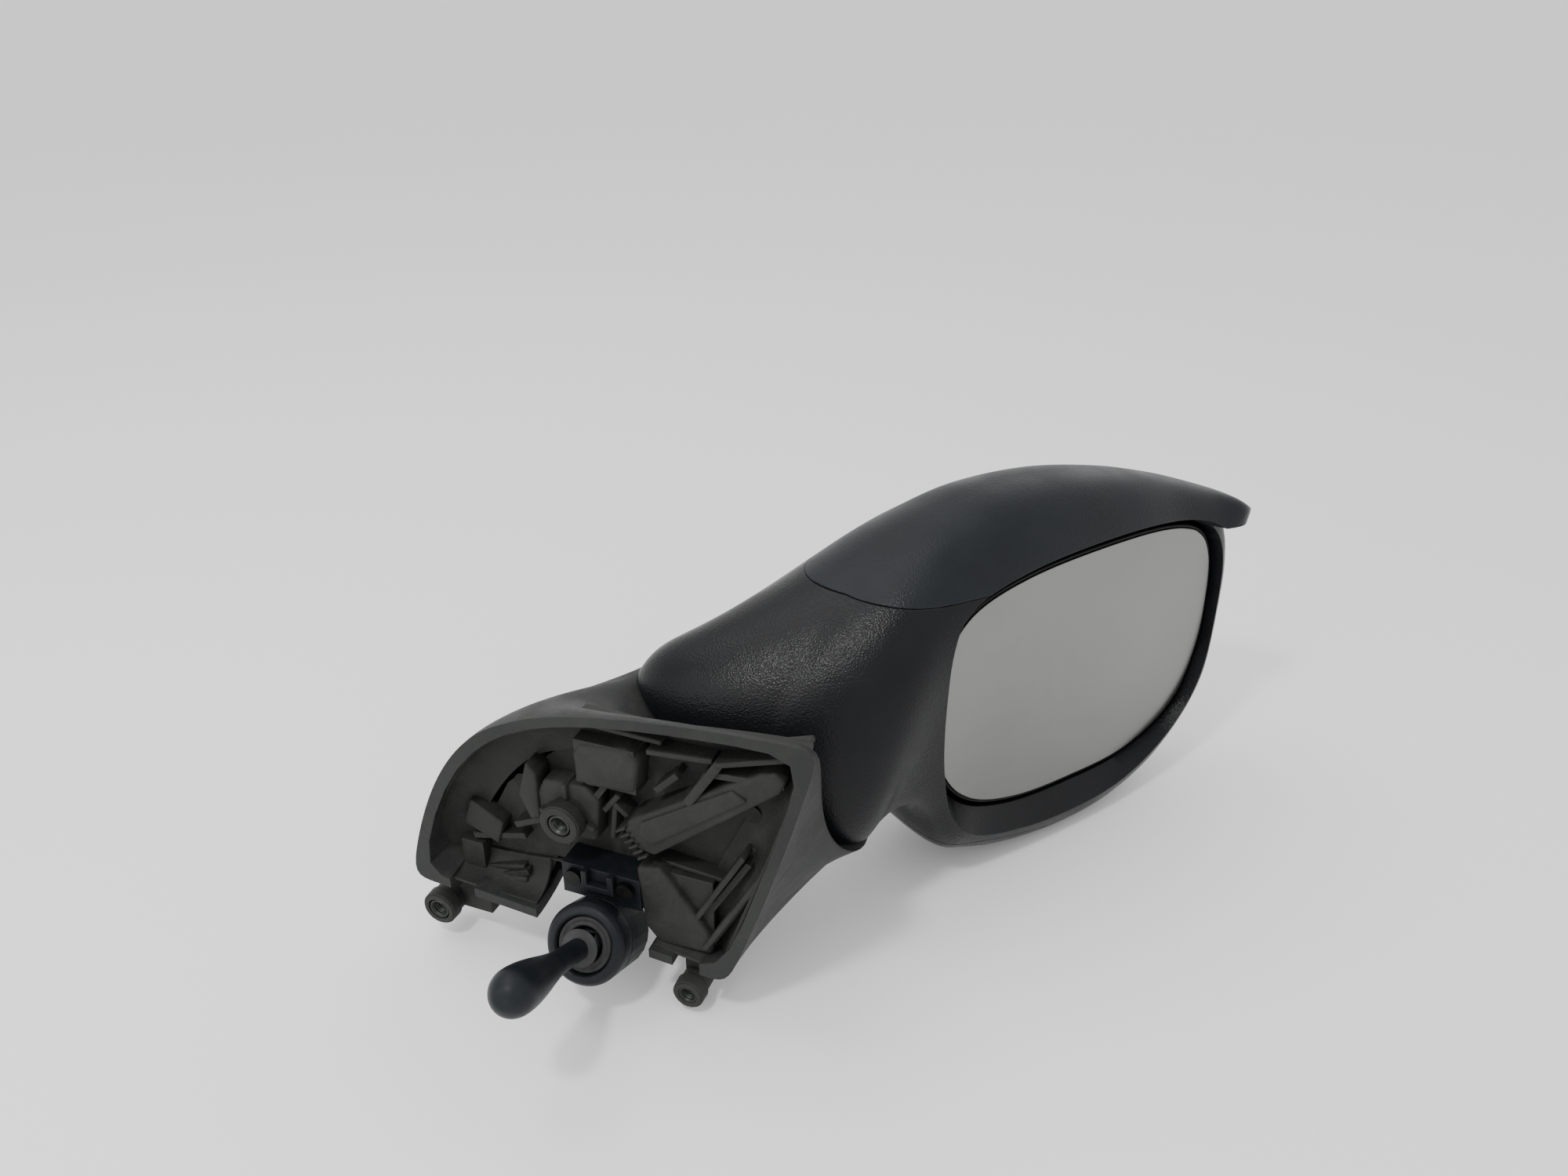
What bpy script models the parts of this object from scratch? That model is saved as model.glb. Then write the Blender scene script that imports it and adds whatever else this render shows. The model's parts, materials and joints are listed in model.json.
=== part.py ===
"""Left-hand manual car door mirror: base with fold pivot, swept head, glass on a ball, lever and cables.

Frame: X points outboard from the door, Y to the front of the car, Z up.  The origin is on the door face,
at the middle of the base's rear edge.  Sizes below are in millimetres and become metres in mesh_object.
"""
import math

import bmesh
import bpy
from mathutils import Matrix, Vector
from mathutils.bvhtree import BVHTree

MM = 0.001

# ---------------------------------------------------------------- driving dimensions (mm, degrees)
CLEARANCE = 0.3            # gap between touching pieces
WALL = 2.6                 # moulded wall of the covers
RIM_POINTS = 40            # points around the glass and its opening
AROUND = 40                # points around every lofted section
CORNER_PULL = 0.6          # how far a moved ring leans to its middle, which keeps its corners apart

# Base outline on the door face, as (Y, Z).
REAR_TOP = (-15.0, 48.0)
REAR_BOTTOM = (17.0, -56.0)
REAR_BOW = (-2.6, -4.0)
TOP_SHOULDER = (94.0, 31.0)
FRONT_BOTTOM = (142.0, -47.0)
TOP_BOW = (68.0, 46.0)
FRONT_BOW = (126.0, 18.0)
OUTLINE_ANGLES = (18.0, 126.0, 198.0, 315.0)   # where those corners sit round the foot
FOOT_RISE = 14.0           # how straight the foot rises into the parting oval where it comes from below
FOOT_FLARE = 20.0          # how flat it runs in where it comes from above the oval's plane
FOOT_BLEND = 15.0          # distance below that plane over which the one becomes the other
RIM_WIDTH = 3.6

# Fold pivot: the parting oval between foot and neck lies in the plane square to the pivot.  The pivot
# stands in the oval's rear end, which is round about it, so the neck clears the foot as it folds back.
OVAL_CENTRE = Vector((60.0, 30.0, -2.5))
PIVOT_BEHIND = 28.0        # pivot behind the oval's centre
SWING_GAP = 1.2            # between the foot and the neck's rear end as it swings
PIVOT_LEAN = 30.0          # the pivot leans to the rear by this angle
OVAL_HALF_LENGTH = 51.0
OVAL_HALF_WIDTH = 24.5
PARTING_GAP = 1.5
SEAT_THICKNESS = 3.0
POST_RADIUS = 8.0
POST_BORE = 6.3
SEAT_RADIUS = 12.5
DETENT_RADIUS = 15.0
POST_BELOW = 10.5
POST_ABOVE = 24.0
SPRING_WIRE = 2.2
RETAINER_RADIUS = 12.2
SPRING_TURNS = 4.0

# Head: stations run outboard along the glass, from its inboard edge.
HEAD_TOE = 35.0            # the glass faces inboard by this angle
GLASS_EDGE = Vector((94.0, -30.5, 0.0))
HEAD_LENGTH = 155.0
GLASS_THICKNESS = 2.0
PAD_THICKNESS = 0.8
HOLDER_THICKNESS = 3.0
GLASS_GAP = 2.0            # between the glass and the casing around it
BALL_RADIUS = 8.0
BALL_DEPTH = 15.0          # ball centre behind the face of the glass
CARRIER_DEPTH = 23.0
CARRIER_THICKNESS = 3.0

# Lever: its ball sits under the collar, and the stem leaves towards the cabin.
LEVER_RING = Vector((-12.0, 64.5, -44.5))
LEVER_KNOB = Vector((-55.0, 62.0, -23.0))
KNOB_RADIUS = 7.8
COLLAR_RADIUS = 14.5
LEVER_BALL_RADIUS = 6.0
LEVER_BALL_BEHIND = 8.0    # ball centre behind the middle of the collar's mouth
LEVER_SWING = 12.0         # each way
STEM_RADIUS = 2.2
SPIDER_BEHIND = 7.0        # spider's face behind the ball centre
CABLE_RADIUS = 1.5
BUNDLE_RADIUS = 2.2        # the three sheaths sit this far from the middle of the post
BEND_RADIUS = 5.9          # of the middle of the bundle, where it turns up into the post
BEND_TOP = -8.0            # the bend ends here along the pivot

# Fixing bosses, as (Y, Z) on the door face, for M6 inserts.
BOSS_CENTRE = (77.0, -6.0)
BOSS_FRONT = (133.0, -61.0)
BOSS_REAR = (32.0, -67.0)
BOSS_RADII = (7.0, 6.2, 5.2)
INSERT_RADIUS = 4.2
INSERT_BORE = 2.6
INSERT_LENGTH = 12.0
BRACKET_DEPTH = 15.0       # the bracket's web behind the door face
BRACKET_WEB = 3.0
# Arms that carry the two lower bosses past the cover's edge: name, Y range, Z range, X of the back.
ARMS = (("lug_arm", (27.5, 36.5), (-66.0, -38.0), BRACKET_DEPTH + 2.5),
        ("front_arm", (116.0, 125.0), (-65.0, -32.0), BRACKET_DEPTH + 2.5),
        ("front_foot", (116.0, 133.0), (-65.0, -56.0), BRACKET_DEPTH + 2.5))
COVER_SCREWS = ((98.0, -2.0), (12.0, 8.0))

HOUSING_MIDDLE = LEVER_RING.y + 0.5
HOUSING_SCREWS = ((HOUSING_MIDDLE - 10.0, -29.5), (HOUSING_MIDDLE + 10.0, -29.5))
HOUSING_FRONT = 4.0        # X of the housing block's face

# ---------------------------------------------------------------- derived directions and frames
_LEAN = math.radians(PIVOT_LEAN)
_TOE = math.radians(HEAD_TOE)
UP = Vector((0, 0, 1))
OUTBOARD = Vector((1, 0, 0))
PIVOT_AXIS = Vector((0, -math.sin(_LEAN), math.cos(_LEAN)))
OVAL_LONG = Vector((0, math.cos(_LEAN), math.sin(_LEAN)))
PIVOT_CENTRE = OVAL_CENTRE - OVAL_LONG * PIVOT_BEHIND
ALONG = Vector((math.cos(_TOE), -math.sin(_TOE), 0))      # along the glass, outboard
DEEP = Vector((math.sin(_TOE), math.cos(_TOE), 0))        # into the head, away from the driver
LEVER_AXIS = (LEVER_KNOB - LEVER_RING).normalized()


def head_point(s, t, z):
    """Point at s along the glass, t behind its face, height z."""
    return GLASS_EDGE + ALONG * s + DEEP * t + UP * z


def pivot_spot(distance):
    """Point on the fold pivot's axis, distance above the middle of the parting gap."""
    return PIVOT_CENTRE + PIVOT_AXIS * distance


def frame_at(origin, axis, hint=UP):
    """Matrix whose Z is axis and whose X is as near to hint as it can be."""
    z = axis.normalized()
    x = (hint - z * hint.dot(z)).normalized()
    y = z.cross(x)
    return Matrix.Translation(origin) @ Matrix((x, y, z)).transposed().to_4x4()


# ---------------------------------------------------------------- scene helpers
def clear_scene():
    for obj in list(bpy.data.objects):
        bpy.data.objects.remove(obj, do_unlink=True)


def new_collection(name):
    collection = bpy.data.collections.new(name)
    bpy.context.scene.collection.children.link(collection)
    return collection


def material(name, colour, roughness, metallic=0.0):
    made = bpy.data.materials.get(name)
    if made:
        return made
    made = bpy.data.materials.new(name)
    made.use_nodes = True
    shader = made.node_tree.nodes["Principled BSDF"]
    shader.inputs["Base Color"].default_value = (*colour, 1.0)
    shader.inputs["Roughness"].default_value = roughness
    shader.inputs["Metallic"].default_value = metallic
    return made


FINISHES = {
    "cover": ((0.030, 0.032, 0.034), 0.62, 0.0),
    "cap": ((0.036, 0.040, 0.044), 0.55, 0.0),
    "bracket": ((0.045, 0.050, 0.046), 0.75, 0.0),
    "lever": ((0.020, 0.024, 0.026), 0.50, 0.0),
    "glass": ((0.62, 0.62, 0.60), 0.05, 1.0),
    "pad": ((0.05, 0.05, 0.05), 0.90, 0.0),
    "steel": ((0.45, 0.45, 0.44), 0.35, 1.0),
    "cable": ((0.015, 0.015, 0.015), 0.60, 0.0),
}


def place(obj, finish, collection):
    obj.data.materials.append(material(finish, *FINISHES[finish]))
    collection.objects.link(obj)
    return obj


def mesh_object(name, bm, finish, collection, matrix=None):
    """Turns a bmesh in millimetres into an object in metres."""
    if matrix is not None:
        bm.transform(matrix)
    if bm.calc_volume(signed=True) < 0:
        bmesh.ops.reverse_faces(bm, faces=bm.faces)
    bm.transform(Matrix.Scale(MM, 4))
    mesh = bpy.data.meshes.new(name)
    bm.to_mesh(mesh)
    bm.free()
    mesh.shade_smooth()
    mesh.set_sharp_from_angle(angle=math.radians(35))
    return place(bpy.data.objects.new(name, mesh), finish, collection)


def loft(name, rings, finish, collection):
    """Closed solid through rings that have the same number of points."""
    bm = bmesh.new()
    rows = [[bm.verts.new(p) for p in ring] for ring in rings]
    count = len(rings[0])
    for low, high in zip(rows, rows[1:]):
        for i in range(count):
            j = (i + 1) % count
            bm.faces.new((low[i], low[j], high[j], high[i]))
    bm.faces.new(rows[0][::-1])
    bm.faces.new(rows[-1])
    made = mesh_object(name, bm, finish, collection)
    made["manifold"] = True
    return made


def prism(name, outline, frame, low, high, finish, collection):
    """Flat outline in the frame's XY plane, raised from low to high along its Z."""
    bm = bmesh.new()
    face = bm.faces.new([bm.verts.new((x, y, low)) for x, y in outline])
    raised = bmesh.ops.extrude_face_region(bm, geom=[face])["geom"]
    moved = [v for v in raised if isinstance(v, bmesh.types.BMVert)]
    bmesh.ops.translate(bm, verts=moved, vec=(0, 0, high - low))
    return mesh_object(name, bm, finish, collection, frame)


def box(name, centre, size, finish, collection, frame=None):
    bm = bmesh.new()
    bmesh.ops.create_cube(bm, size=1.0, matrix=Matrix.Translation(centre) @ Matrix.Diagonal((*size, 1)))
    return mesh_object(name, bm, finish, collection, frame)


def cylinder(name, start, end, radius, finish, collection, end_radius=None, segments=24):
    bm = bmesh.new()
    length = (end - start).length
    bmesh.ops.create_cone(bm, cap_ends=True, segments=segments, radius1=radius,
                          radius2=radius if end_radius is None else end_radius, depth=length)
    return mesh_object(name, bm, finish, collection, frame_at((start + end) / 2, end - start, OUTBOARD + UP / 7))


def ball(name, centre, radius, finish, collection, segments=20):
    bm = bmesh.new()
    bmesh.ops.create_uvsphere(bm, u_segments=segments, v_segments=segments // 2, radius=radius)
    return mesh_object(name, bm, finish, collection, Matrix.Translation(centre))


def turned(name, profile, origin, axis, finish, collection, steps=24):
    """Solid of revolution about axis; profile is (radius, height), a loop unless it ends on the axis."""
    curve = bpy.data.meshes.new(name)
    points = [(r * MM, 0, h * MM) for r, h in profile]
    closed = profile[0][0] > 0
    edges = [(i, i + 1) for i in range(len(points) - 1)] + ([(len(points) - 1, 0)] if closed else [])
    curve.from_pydata(points, edges, [])
    obj = bpy.data.objects.new(name, curve)
    spot = frame_at(origin, axis, OUTBOARD + UP / 7)
    spot.translation *= MM
    obj.matrix_world = spot
    screw = obj.modifiers.new("Turn", "SCREW")
    screw.steps = screw.render_steps = steps
    screw.use_merge_vertices = not closed
    screw.merge_threshold = 0.00001
    screw.use_normal_calculate = False
    return place(obj, finish, collection)


def wire(name, points, radius, finish, collection):
    """Round wire through points that are already close together."""
    curve = bpy.data.curves.new(name, "CURVE")
    curve.dimensions = "3D"
    curve.bevel_depth = radius * MM
    curve.bevel_resolution = 2
    curve.use_fill_caps = True
    spline = curve.splines.new("POLY")
    spline.points.add(len(points) - 1)
    for slot, point in zip(spline.points, points):
        slot.co = (*(point * MM), 1.0)
    return place(bpy.data.objects.new(name, curve), finish, collection)


def boolean(target, tool, operation):
    """Adds a Boolean; the EXACT solver fails on lofted and many-featured pieces, which are marked manifold."""
    modifier = target.modifiers.new(tool.name, "BOOLEAN")
    modifier.operation = operation
    modifier.solver = "MANIFOLD" if target.get("manifold") or tool.get("manifold") else "EXACT"
    modifier.object = tool
    tool.hide_render = True
    tool.display_type = "WIRE"
    return target


def cut(target, *tools):
    for tool in tools:
        boolean(target, tool, "DIFFERENCE")
    return target


def join(target, *tools):
    for tool in tools:
        boolean(target, tool, "UNION")
    return target


def keep(target, tool):
    return boolean(target, tool, "INTERSECT")


# ---------------------------------------------------------------- curves
def catmull(points, f, closed=False):
    """Smooth curve through points at f, where whole numbers are the points themselves."""
    n = len(points)
    i = int(math.floor(f)) if closed else max(0, min(n - 2, int(math.floor(f))))
    w = f - i

    def pick(k):
        return Vector(points[k % n] if closed else points[max(0, min(n - 1, k))])
    a, b, c, d = (pick(i + k) for k in (-1, 0, 1, 2))
    return 0.5 * (2 * b + (c - a) * w + (2 * a - 5 * b + 4 * c - d) * w ** 2 + (3 * b - a - 3 * c + d) * w ** 3)


def smooth_route(points, step):
    """Points about step apart along the smooth curve through points."""
    fine = [catmull(points, k / 20) for k in range(20 * (len(points) - 1) + 1)]
    route = [fine[0]]
    for point in fine[1:-1]:
        if (point - route[-1]).length >= step and (fine[-1] - point).length >= step / 2:
            route.append(point)
    return route + [fine[-1]]


def polar_outline(points, centre, count):
    """Closed smooth outline sampled at equal angles round centre, from the inboard side."""
    fine = [catmull(points, k / 12, closed=True) for k in range(12 * len(points))]
    angles = [math.atan2(p[1] - centre[1], p[0] - centre[0]) for p in fine]
    sampled = []
    for k in range(count):
        want = math.pi - 2 * math.pi * k / count
        for i, point in enumerate(fine):
            after = fine[(i + 1) % len(fine)]
            turn = (angles[i] - want + math.pi) % (2 * math.pi) - math.pi
            turn_after = (angles[(i + 1) % len(fine)] - want + math.pi) % (2 * math.pi) - math.pi
            if turn >= 0 > turn_after and turn - turn_after < 1:
                sampled.append(point + (after - point) * (turn / (turn - turn_after)))
                break
    return sampled


def grown(outline, centre, distance):
    """Outline moved outwards by about distance."""
    moved = []
    n = len(outline)
    for i, point in enumerate(outline):
        along = (outline[(i + 1) % n] - outline[i - 1]).normalized()
        normal = Vector((along[1], -along[0]))
        if normal.dot(point - Vector(centre)) < 0:
            normal.negate()
        moved.append(point + normal * distance)
    return moved


# ---------------------------------------------------------------- base: outline and foot surface
def bezier(a, bow, b, f):
    a, bow, b = Vector(a), Vector(bow), Vector(b)
    return a * (1 - f) ** 2 + bow * 2 * f * (1 - f) + b * f ** 2


def base_outline(angle):
    """Point (Y, Z) of the base outline; angle 0 is the front, 90 the top, 180 the rear edge."""
    shoulder, rear_top, rear_bottom, front_bottom = OUTLINE_ANGLES
    turn = (angle - shoulder) % 360.0 + shoulder
    if turn < rear_top:
        point = bezier(TOP_SHOULDER, TOP_BOW, REAR_TOP, (turn - shoulder) / (rear_top - shoulder))
    elif turn < rear_bottom:
        point = bezier(REAR_TOP, REAR_BOW, REAR_BOTTOM, (turn - rear_top) / (rear_bottom - rear_top))
    elif turn < front_bottom:
        share = (turn - rear_bottom) / (front_bottom - rear_bottom)
        point = Vector(REAR_BOTTOM).lerp(Vector(FRONT_BOTTOM), share)
    else:
        share = (turn - front_bottom) / (360.0 + shoulder - front_bottom)
        point = bezier(FRONT_BOTTOM, FRONT_BOW, TOP_SHOULDER, share)
    return point


def superellipse(angle, power):
    c, s = math.cos(angle), math.sin(angle)
    return (math.copysign(abs(c) ** (2 / power), c), math.copysign(abs(s) ** (2 / power), s))


def oval_point(angle, lift):
    """Point of the parting oval; angle 0 is its front end, 90 its inboard side."""
    c, s = superellipse(math.radians(angle), 2.2)
    return OVAL_CENTRE + PIVOT_AXIS * lift + OVAL_LONG * OVAL_HALF_LENGTH * c - OUTBOARD * OVAL_HALF_WIDTH * s


def hermite(a, slope_a, b, slope_b, w):
    return (a * (2 * w ** 3 - 3 * w ** 2 + 1) + slope_a * (w ** 3 - 2 * w ** 2 + w)
            + b * (3 * w ** 2 - 2 * w ** 3) + slope_b * (w ** 3 - w ** 2))


def around():
    return [360.0 * k / AROUND for k in range(AROUND)]


def foot_rings(steps=8):
    """Rings from the door face out and up to the parting oval."""
    rings = []
    for k in range(steps + 1):
        w = k / steps
        ring = []
        for angle in around():
            start = Vector((0.0, *base_outline(angle)))
            end = oval_point(angle, -PARTING_GAP / 2)
            outwards = (oval_point(angle + 1, 0) - oval_point(angle - 1, 0)).cross(PIVOT_AXIS).normalized()
            level = (start - PIVOT_CENTRE).dot(PIVOT_AXIS)
            above = min(1.0, max(0.0, 1.0 + level / FOOT_BLEND))
            arrive = PIVOT_AXIS * FOOT_RISE * (1 - above) - outwards * FOOT_FLARE * above
            ring.append(hermite(start, OUTBOARD * 1.2 * end.x, end, arrive, w))
        rings.append(ring)
    return rings


def inner_rings(rings, wall, first_wall=None, rounding=0):
    """The same rings moved inwards by the wall; rounding eases their corners."""
    count = len(rings[0])
    moved = []
    for i, ring in enumerate(rings):
        before, after = rings[max(0, i - 1)], rings[min(len(rings) - 1, i + 1)]
        distance = first_wall if first_wall and i == 0 else wall
        middle = sum(ring, Vector()) / count
        row = []
        for j, point in enumerate(ring):
            inwards = (after[j] - before[j]).cross(ring[(j + 1) % count] - ring[j - 1]).normalized()
            way = (inwards + (middle - point).normalized() * CORNER_PULL).normalized()
            row.append(point + way * distance / way.dot(inwards))
        for _ in range(rounding):
            row = [(row[j - 1] + 2 * row[j] + row[(j + 1) % count]) / 4 for j in range(count)]
        moved.append(row)
    return moved


def foot_room(wall, rim):
    """Rings of the space inside the foot, from just in front of the door face to short of the oval."""
    rings = inner_rings(foot_rings()[:-2], wall, rim, rounding=2)
    return [[point - OUTBOARD for point in rings[0]]] + rings


# ---------------------------------------------------------------- head surface
# Stations: s, lowest z, highest z, rearmost t, foremost t, height of the widest point.
CASING_STATIONS = (
    (8.0, -62.0, 76.0, -10.0, 66.0, 14.0),
    (30.0, -70.0, 81.0, -10.0, 63.0, 12.0),
    (60.0, -75.0, 81.0, -10.0, 58.0, 10.0),
    (90.0, -74.0, 76.0, -9.5, 51.0, 8.0),
    (115.0, -66.0, 69.0, -8.0, 43.0, 6.0),
    (134.0, -52.0, 59.0, -6.0, 34.0, 4.0),
    (146.0, -35.0, 49.0, -4.0, 26.0, 4.0),
    (HEAD_LENGTH - 3, -16.0, 34.0, -1.0, 18.0, 6.0),
)
CAP_END_STATIONS = (
    (134.0, -20.0, 62.3, -9.0, 34.0, 20.0),
    (147.0, 38.0, 57.3, -9.0, 16.0, 46.0),
    (154.5, 48.9, 52.3, -6.0, 1.0, 50.6),
)
HOLLOW_STATIONS = 7        # the casing's hollow ends at this station
CAP_HOLLOW_STATIONS = 6
NECK_SHOULDER = 0.12       # how much the top of the neck swells
RIM_DEPTH = 4.0            # the rim is solid from its lip to this far behind the glass's face
RIM_INBOARD = -14.0        # the rim's solid part starts here along the glass
SCOOP_DEPTH = 18.0         # the opening for the glass reaches this far behind its face
FRONT_POWER = 2.2
REAR_TOP_POWER = 3.4
REAR_LOW_POWER = 5.5


def section_ring(station):
    """Closed ring of one head station; angle 0 is its front, 90 its top."""
    s, low, high, back, front, middle = station
    t_middle = back + (front - back) * 0.45
    ring = []
    for angle in around():
        a = math.radians(angle)
        forward, above = math.cos(a) >= 0, math.sin(a) >= 0
        power = FRONT_POWER if forward else REAR_TOP_POWER if above else REAR_LOW_POWER
        c, sn = superellipse(a, power)
        t = t_middle + c * ((front - t_middle) if forward else (t_middle - back))
        z = middle + sn * ((high - middle) if above else (middle - low))
        ring.append(head_point(s, t, z))
    return ring


def front_depth(s, z):
    """Depth t of the outer front wall at s and z."""
    stations = [Vector(row) for row in CASING_STATIONS]
    k = max(i for i, row in enumerate(stations) if row[0] <= s)
    row = stations[k].lerp(stations[k + 1], (s - stations[k][0]) / (stations[k + 1][0] - stations[k][0]))
    t_middle = row[3] + (row[4] - row[3]) * 0.45
    half = (row[2] - row[5]) if z >= row[5] else (row[5] - row[1])
    return t_middle + (row[4] - t_middle) * (1 - (abs(z - row[5]) / half) ** FRONT_POWER) ** (1 / FRONT_POWER)


def head_rings(stations, neck_steps=9, per_station=2):
    """Rings from the parting oval up the neck and out along the head."""
    first = section_ring(stations[0])
    beyond = section_ring(catmull(stations, 0.2))
    rings = []
    for k in range(neck_steps):
        w = k / neck_steps
        ring = []
        for angle, end, after in zip(around(), first, beyond):
            start = oval_point(angle, PARTING_GAP / 2)
            reach = (end - start).length
            rise = 1.0 + NECK_SHOULDER * max(0.0, math.sin(math.radians(angle)))
            arrive = (after - end).normalized() * reach
            ring.append(hermite(start, PIVOT_AXIS * reach * rise, end, arrive, w))
        rings.append(ring)
    for k in range(per_station * (len(stations) - 1) + 1):
        rings.append(section_ring(catmull(stations, k / per_station)))
    return rings


# Inner edge of the rim and outline of the glass, as (s, z), from the inboard side over the top.
APERTURE = ((-8.5, 20), (-6, 40), (3, 53), (25, 59.5), (59, 62), (98, 60.5), (128, 54), (143, 42), (148, 22),
            (148.3, -2), (145, -26), (129, -48), (100, -62.5), (66, -64.5), (38, -61.5), (14, -53.5), (0, -36),
            (-7, -10))
GLASS = ((-3.5, 10), (-1, 30), (11, 45), (36, 52), (72, 54), (110, 52.5), (132, 46), (142, 32), (145, 10),
         (143.5, -14), (133, -38), (106, -51.5), (72, -53), (40, -50), (15, -40), (0, -20))
GLASS_MIDDLE = (72.0, 0.0)


def glass_outline(distance=0.0, count=RIM_POINTS):
    return grown(polar_outline(GLASS, GLASS_MIDDLE, count), GLASS_MIDDLE, distance)


def head_ring(outline, t):
    return [head_point(s, t, z) for s, z in outline]


def head_slab(name, outline, t_low, t_high, finish, collection):
    return loft(name, [head_ring(outline, t_low), head_ring(outline, t_high)], finish, collection)


# ---------------------------------------------------------------- the pieces
def seat_block(name, low, high, tools):
    """Block over the parting oval between two distances along the pivot."""
    return box(name, (0, 0, (low + high) / 2), (2 * OVAL_HALF_WIDTH + 6, 2 * OVAL_HALF_LENGTH + 6, high - low),
               "cover", tools, frame_at(OVAL_CENTRE, PIVOT_AXIS, OUTBOARD))


def make_base_cover(parts, tools):
    outer = loft("base_cover", foot_rings(), "cover", parts)
    inner = loft("cover_cavity", foot_room(WALL, RIM_WIDTH), "cover", tools)
    cut(inner, seat_block("cover_seat", -PARTING_GAP / 2 - SEAT_THICKNESS, 10, tools))
    bore = cylinder("cover_bore", pivot_spot(-POST_BELOW - 2), pivot_spot(5), DETENT_RADIUS + CLEARANCE, "cover", tools,
                    segments=28)
    notch = box("cover_notch", (20.5, 68, -66), (47, 44, 60), "cover", tools)
    swing = cylinder("cover_swing", pivot_spot(-PARTING_GAP / 2), pivot_spot(20),
                     OVAL_HALF_LENGTH - PIVOT_BEHIND + SWING_GAP, "cover", tools, segments=48)
    cut(outer, inner, bore, notch, swing)
    for name, y, z, back in ARMS:
        cut(outer, box(name + "_notch", (back / 2, sum(y) / 2, sum(z) / 2),
                       (back + 3 * CLEARANCE, y[1] - y[0] + 4 * CLEARANCE, z[1] - z[0]), "cover", tools))
    return outer


def make_pivot(parts):
    ring_top = -0.1 - CLEARANCE / 2
    seat_low = -PARTING_GAP / 2 - SEAT_THICKNESS
    turned("lower_detent_ring",
           [(POST_RADIUS + CLEARANCE, ring_top), (DETENT_RADIUS, ring_top), (DETENT_RADIUS, seat_low),
            (POST_RADIUS + CLEARANCE, seat_low)], PIVOT_CENTRE, PIVOT_AXIS, "steel", parts)
    turned("upper_detent_ring",
           [(POST_RADIUS + CLEARANCE, -seat_low), (DETENT_RADIUS, -seat_low), (DETENT_RADIUS, -ring_top),
            (POST_RADIUS + CLEARANCE, -ring_top)], PIVOT_CENTRE, PIVOT_AXIS, "steel", parts)
    flange_top = seat_low - CLEARANCE
    turned("pivot_post",
           [(POST_BORE, POST_ABOVE), (POST_RADIUS, POST_ABOVE), (POST_RADIUS, flange_top),
            (SEAT_RADIUS, flange_top), (SEAT_RADIUS, flange_top - 3), (POST_RADIUS, flange_top - 3),
            (POST_RADIUS, -POST_BELOW), (POST_BORE, -POST_BELOW)], PIVOT_CENTRE, PIVOT_AXIS, "steel", parts)
    retainer_low = POST_ABOVE - 4
    turned("spring_retainer",
           [(POST_RADIUS + CLEARANCE, POST_ABOVE - 1), (RETAINER_RADIUS, POST_ABOVE - 1),
            (RETAINER_RADIUS, retainer_low), (POST_RADIUS + CLEARANCE, retainer_low)],
           PIVOT_CENTRE, PIVOT_AXIS, "steel", parts)
    spring_radius = POST_RADIUS + 1 + SPRING_WIRE / 2 + CLEARANCE
    low = -seat_low + CLEARANCE + SPRING_WIRE / 2
    high = retainer_low - CLEARANCE - SPRING_WIRE / 2
    frame = frame_at(PIVOT_CENTRE, PIVOT_AXIS, OUTBOARD)
    count = int(14 * SPRING_TURNS)
    coil = []
    for k in range(count + 1):
        f = k / count
        turn = 2 * math.pi * SPRING_TURNS * f
        coil.append(frame @ Vector((spring_radius * math.cos(turn), spring_radius * math.sin(turn),
                                    low + (high - low) * f)))
    wire("fold_spring", coil, SPRING_WIRE / 2, "steel", parts)


def make_head(parts, tools):
    """Casing, cap and lower trim are one skin, parted along two slanted planes."""
    scoop_front = grown(polar_outline(APERTURE, GLASS_MIDDLE, RIM_POINTS), GLASS_MIDDLE, 4.0)
    aperture = polar_outline(APERTURE, GLASS_MIDDLE, RIM_POINTS)
    window = glass_outline(GLASS_GAP)

    def skin(name, stations, finish, hollow_stations=HOLLOW_STATIONS):
        outer = loft(name, head_rings(stations), finish, parts)
        scoop = loft(name + "_scoop", [head_ring(scoop_front, -30), head_ring(aperture, -9),
                                       head_ring(window, 1), head_ring(window, SCOOP_DEPTH)], finish, tools)
        hollow = inner_rings(head_rings(stations[:hollow_stations]), WALL)
        cavity = loft(name + "_cavity", hollow, finish, tools)
        cut(cavity, seat_block(name + "_seat", -10, PARTING_GAP / 2 + SEAT_THICKNESS, tools),
            box(name + "_rim", (100 + RIM_INBOARD, 0, -50 + RIM_DEPTH), (200, 240, 100), finish, tools, rim))
        return cut(outer, scoop, cavity)

    rim = frame_at(GLASS_EDGE, DEEP, ALONG)
    split = frame_at(head_point(0, 0, 55.5), UP + ALONG * 0.06, ALONG)
    trim = frame_at(head_point(0, 0, -50.9), -UP - ALONG * 0.265 + DEEP * 0.357, ALONG)
    casing = skin("head_casing", CASING_STATIONS, "cover")
    above = box("above_split", (60, 0, 100), (420, 320, 200), "cover", tools, split)
    below = box("below_trim", (60, 0, 100), (300, 300, 200), "cover", tools, trim)
    bore = cylinder("neck_bore", pivot_spot(-5), pivot_spot(12), DETENT_RADIUS + CLEARANCE, "cover", tools)
    cut(casing, bore, above, below)
    cap = skin("top_cap", CASING_STATIONS[:5] + CAP_END_STATIONS, "cap", CAP_HOLLOW_STATIONS)
    keep(cap, box("cap_half", (60, 0, 100 + CLEARANCE), (420, 320, 200), "cap", tools, split))
    trim_piece = skin("lower_trim", CASING_STATIONS, "cover")
    keep(trim_piece, box("trim_half", (60, 0, 100 + CLEARANCE), (300, 300, 200), "cover", tools, trim))
    return casing


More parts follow.
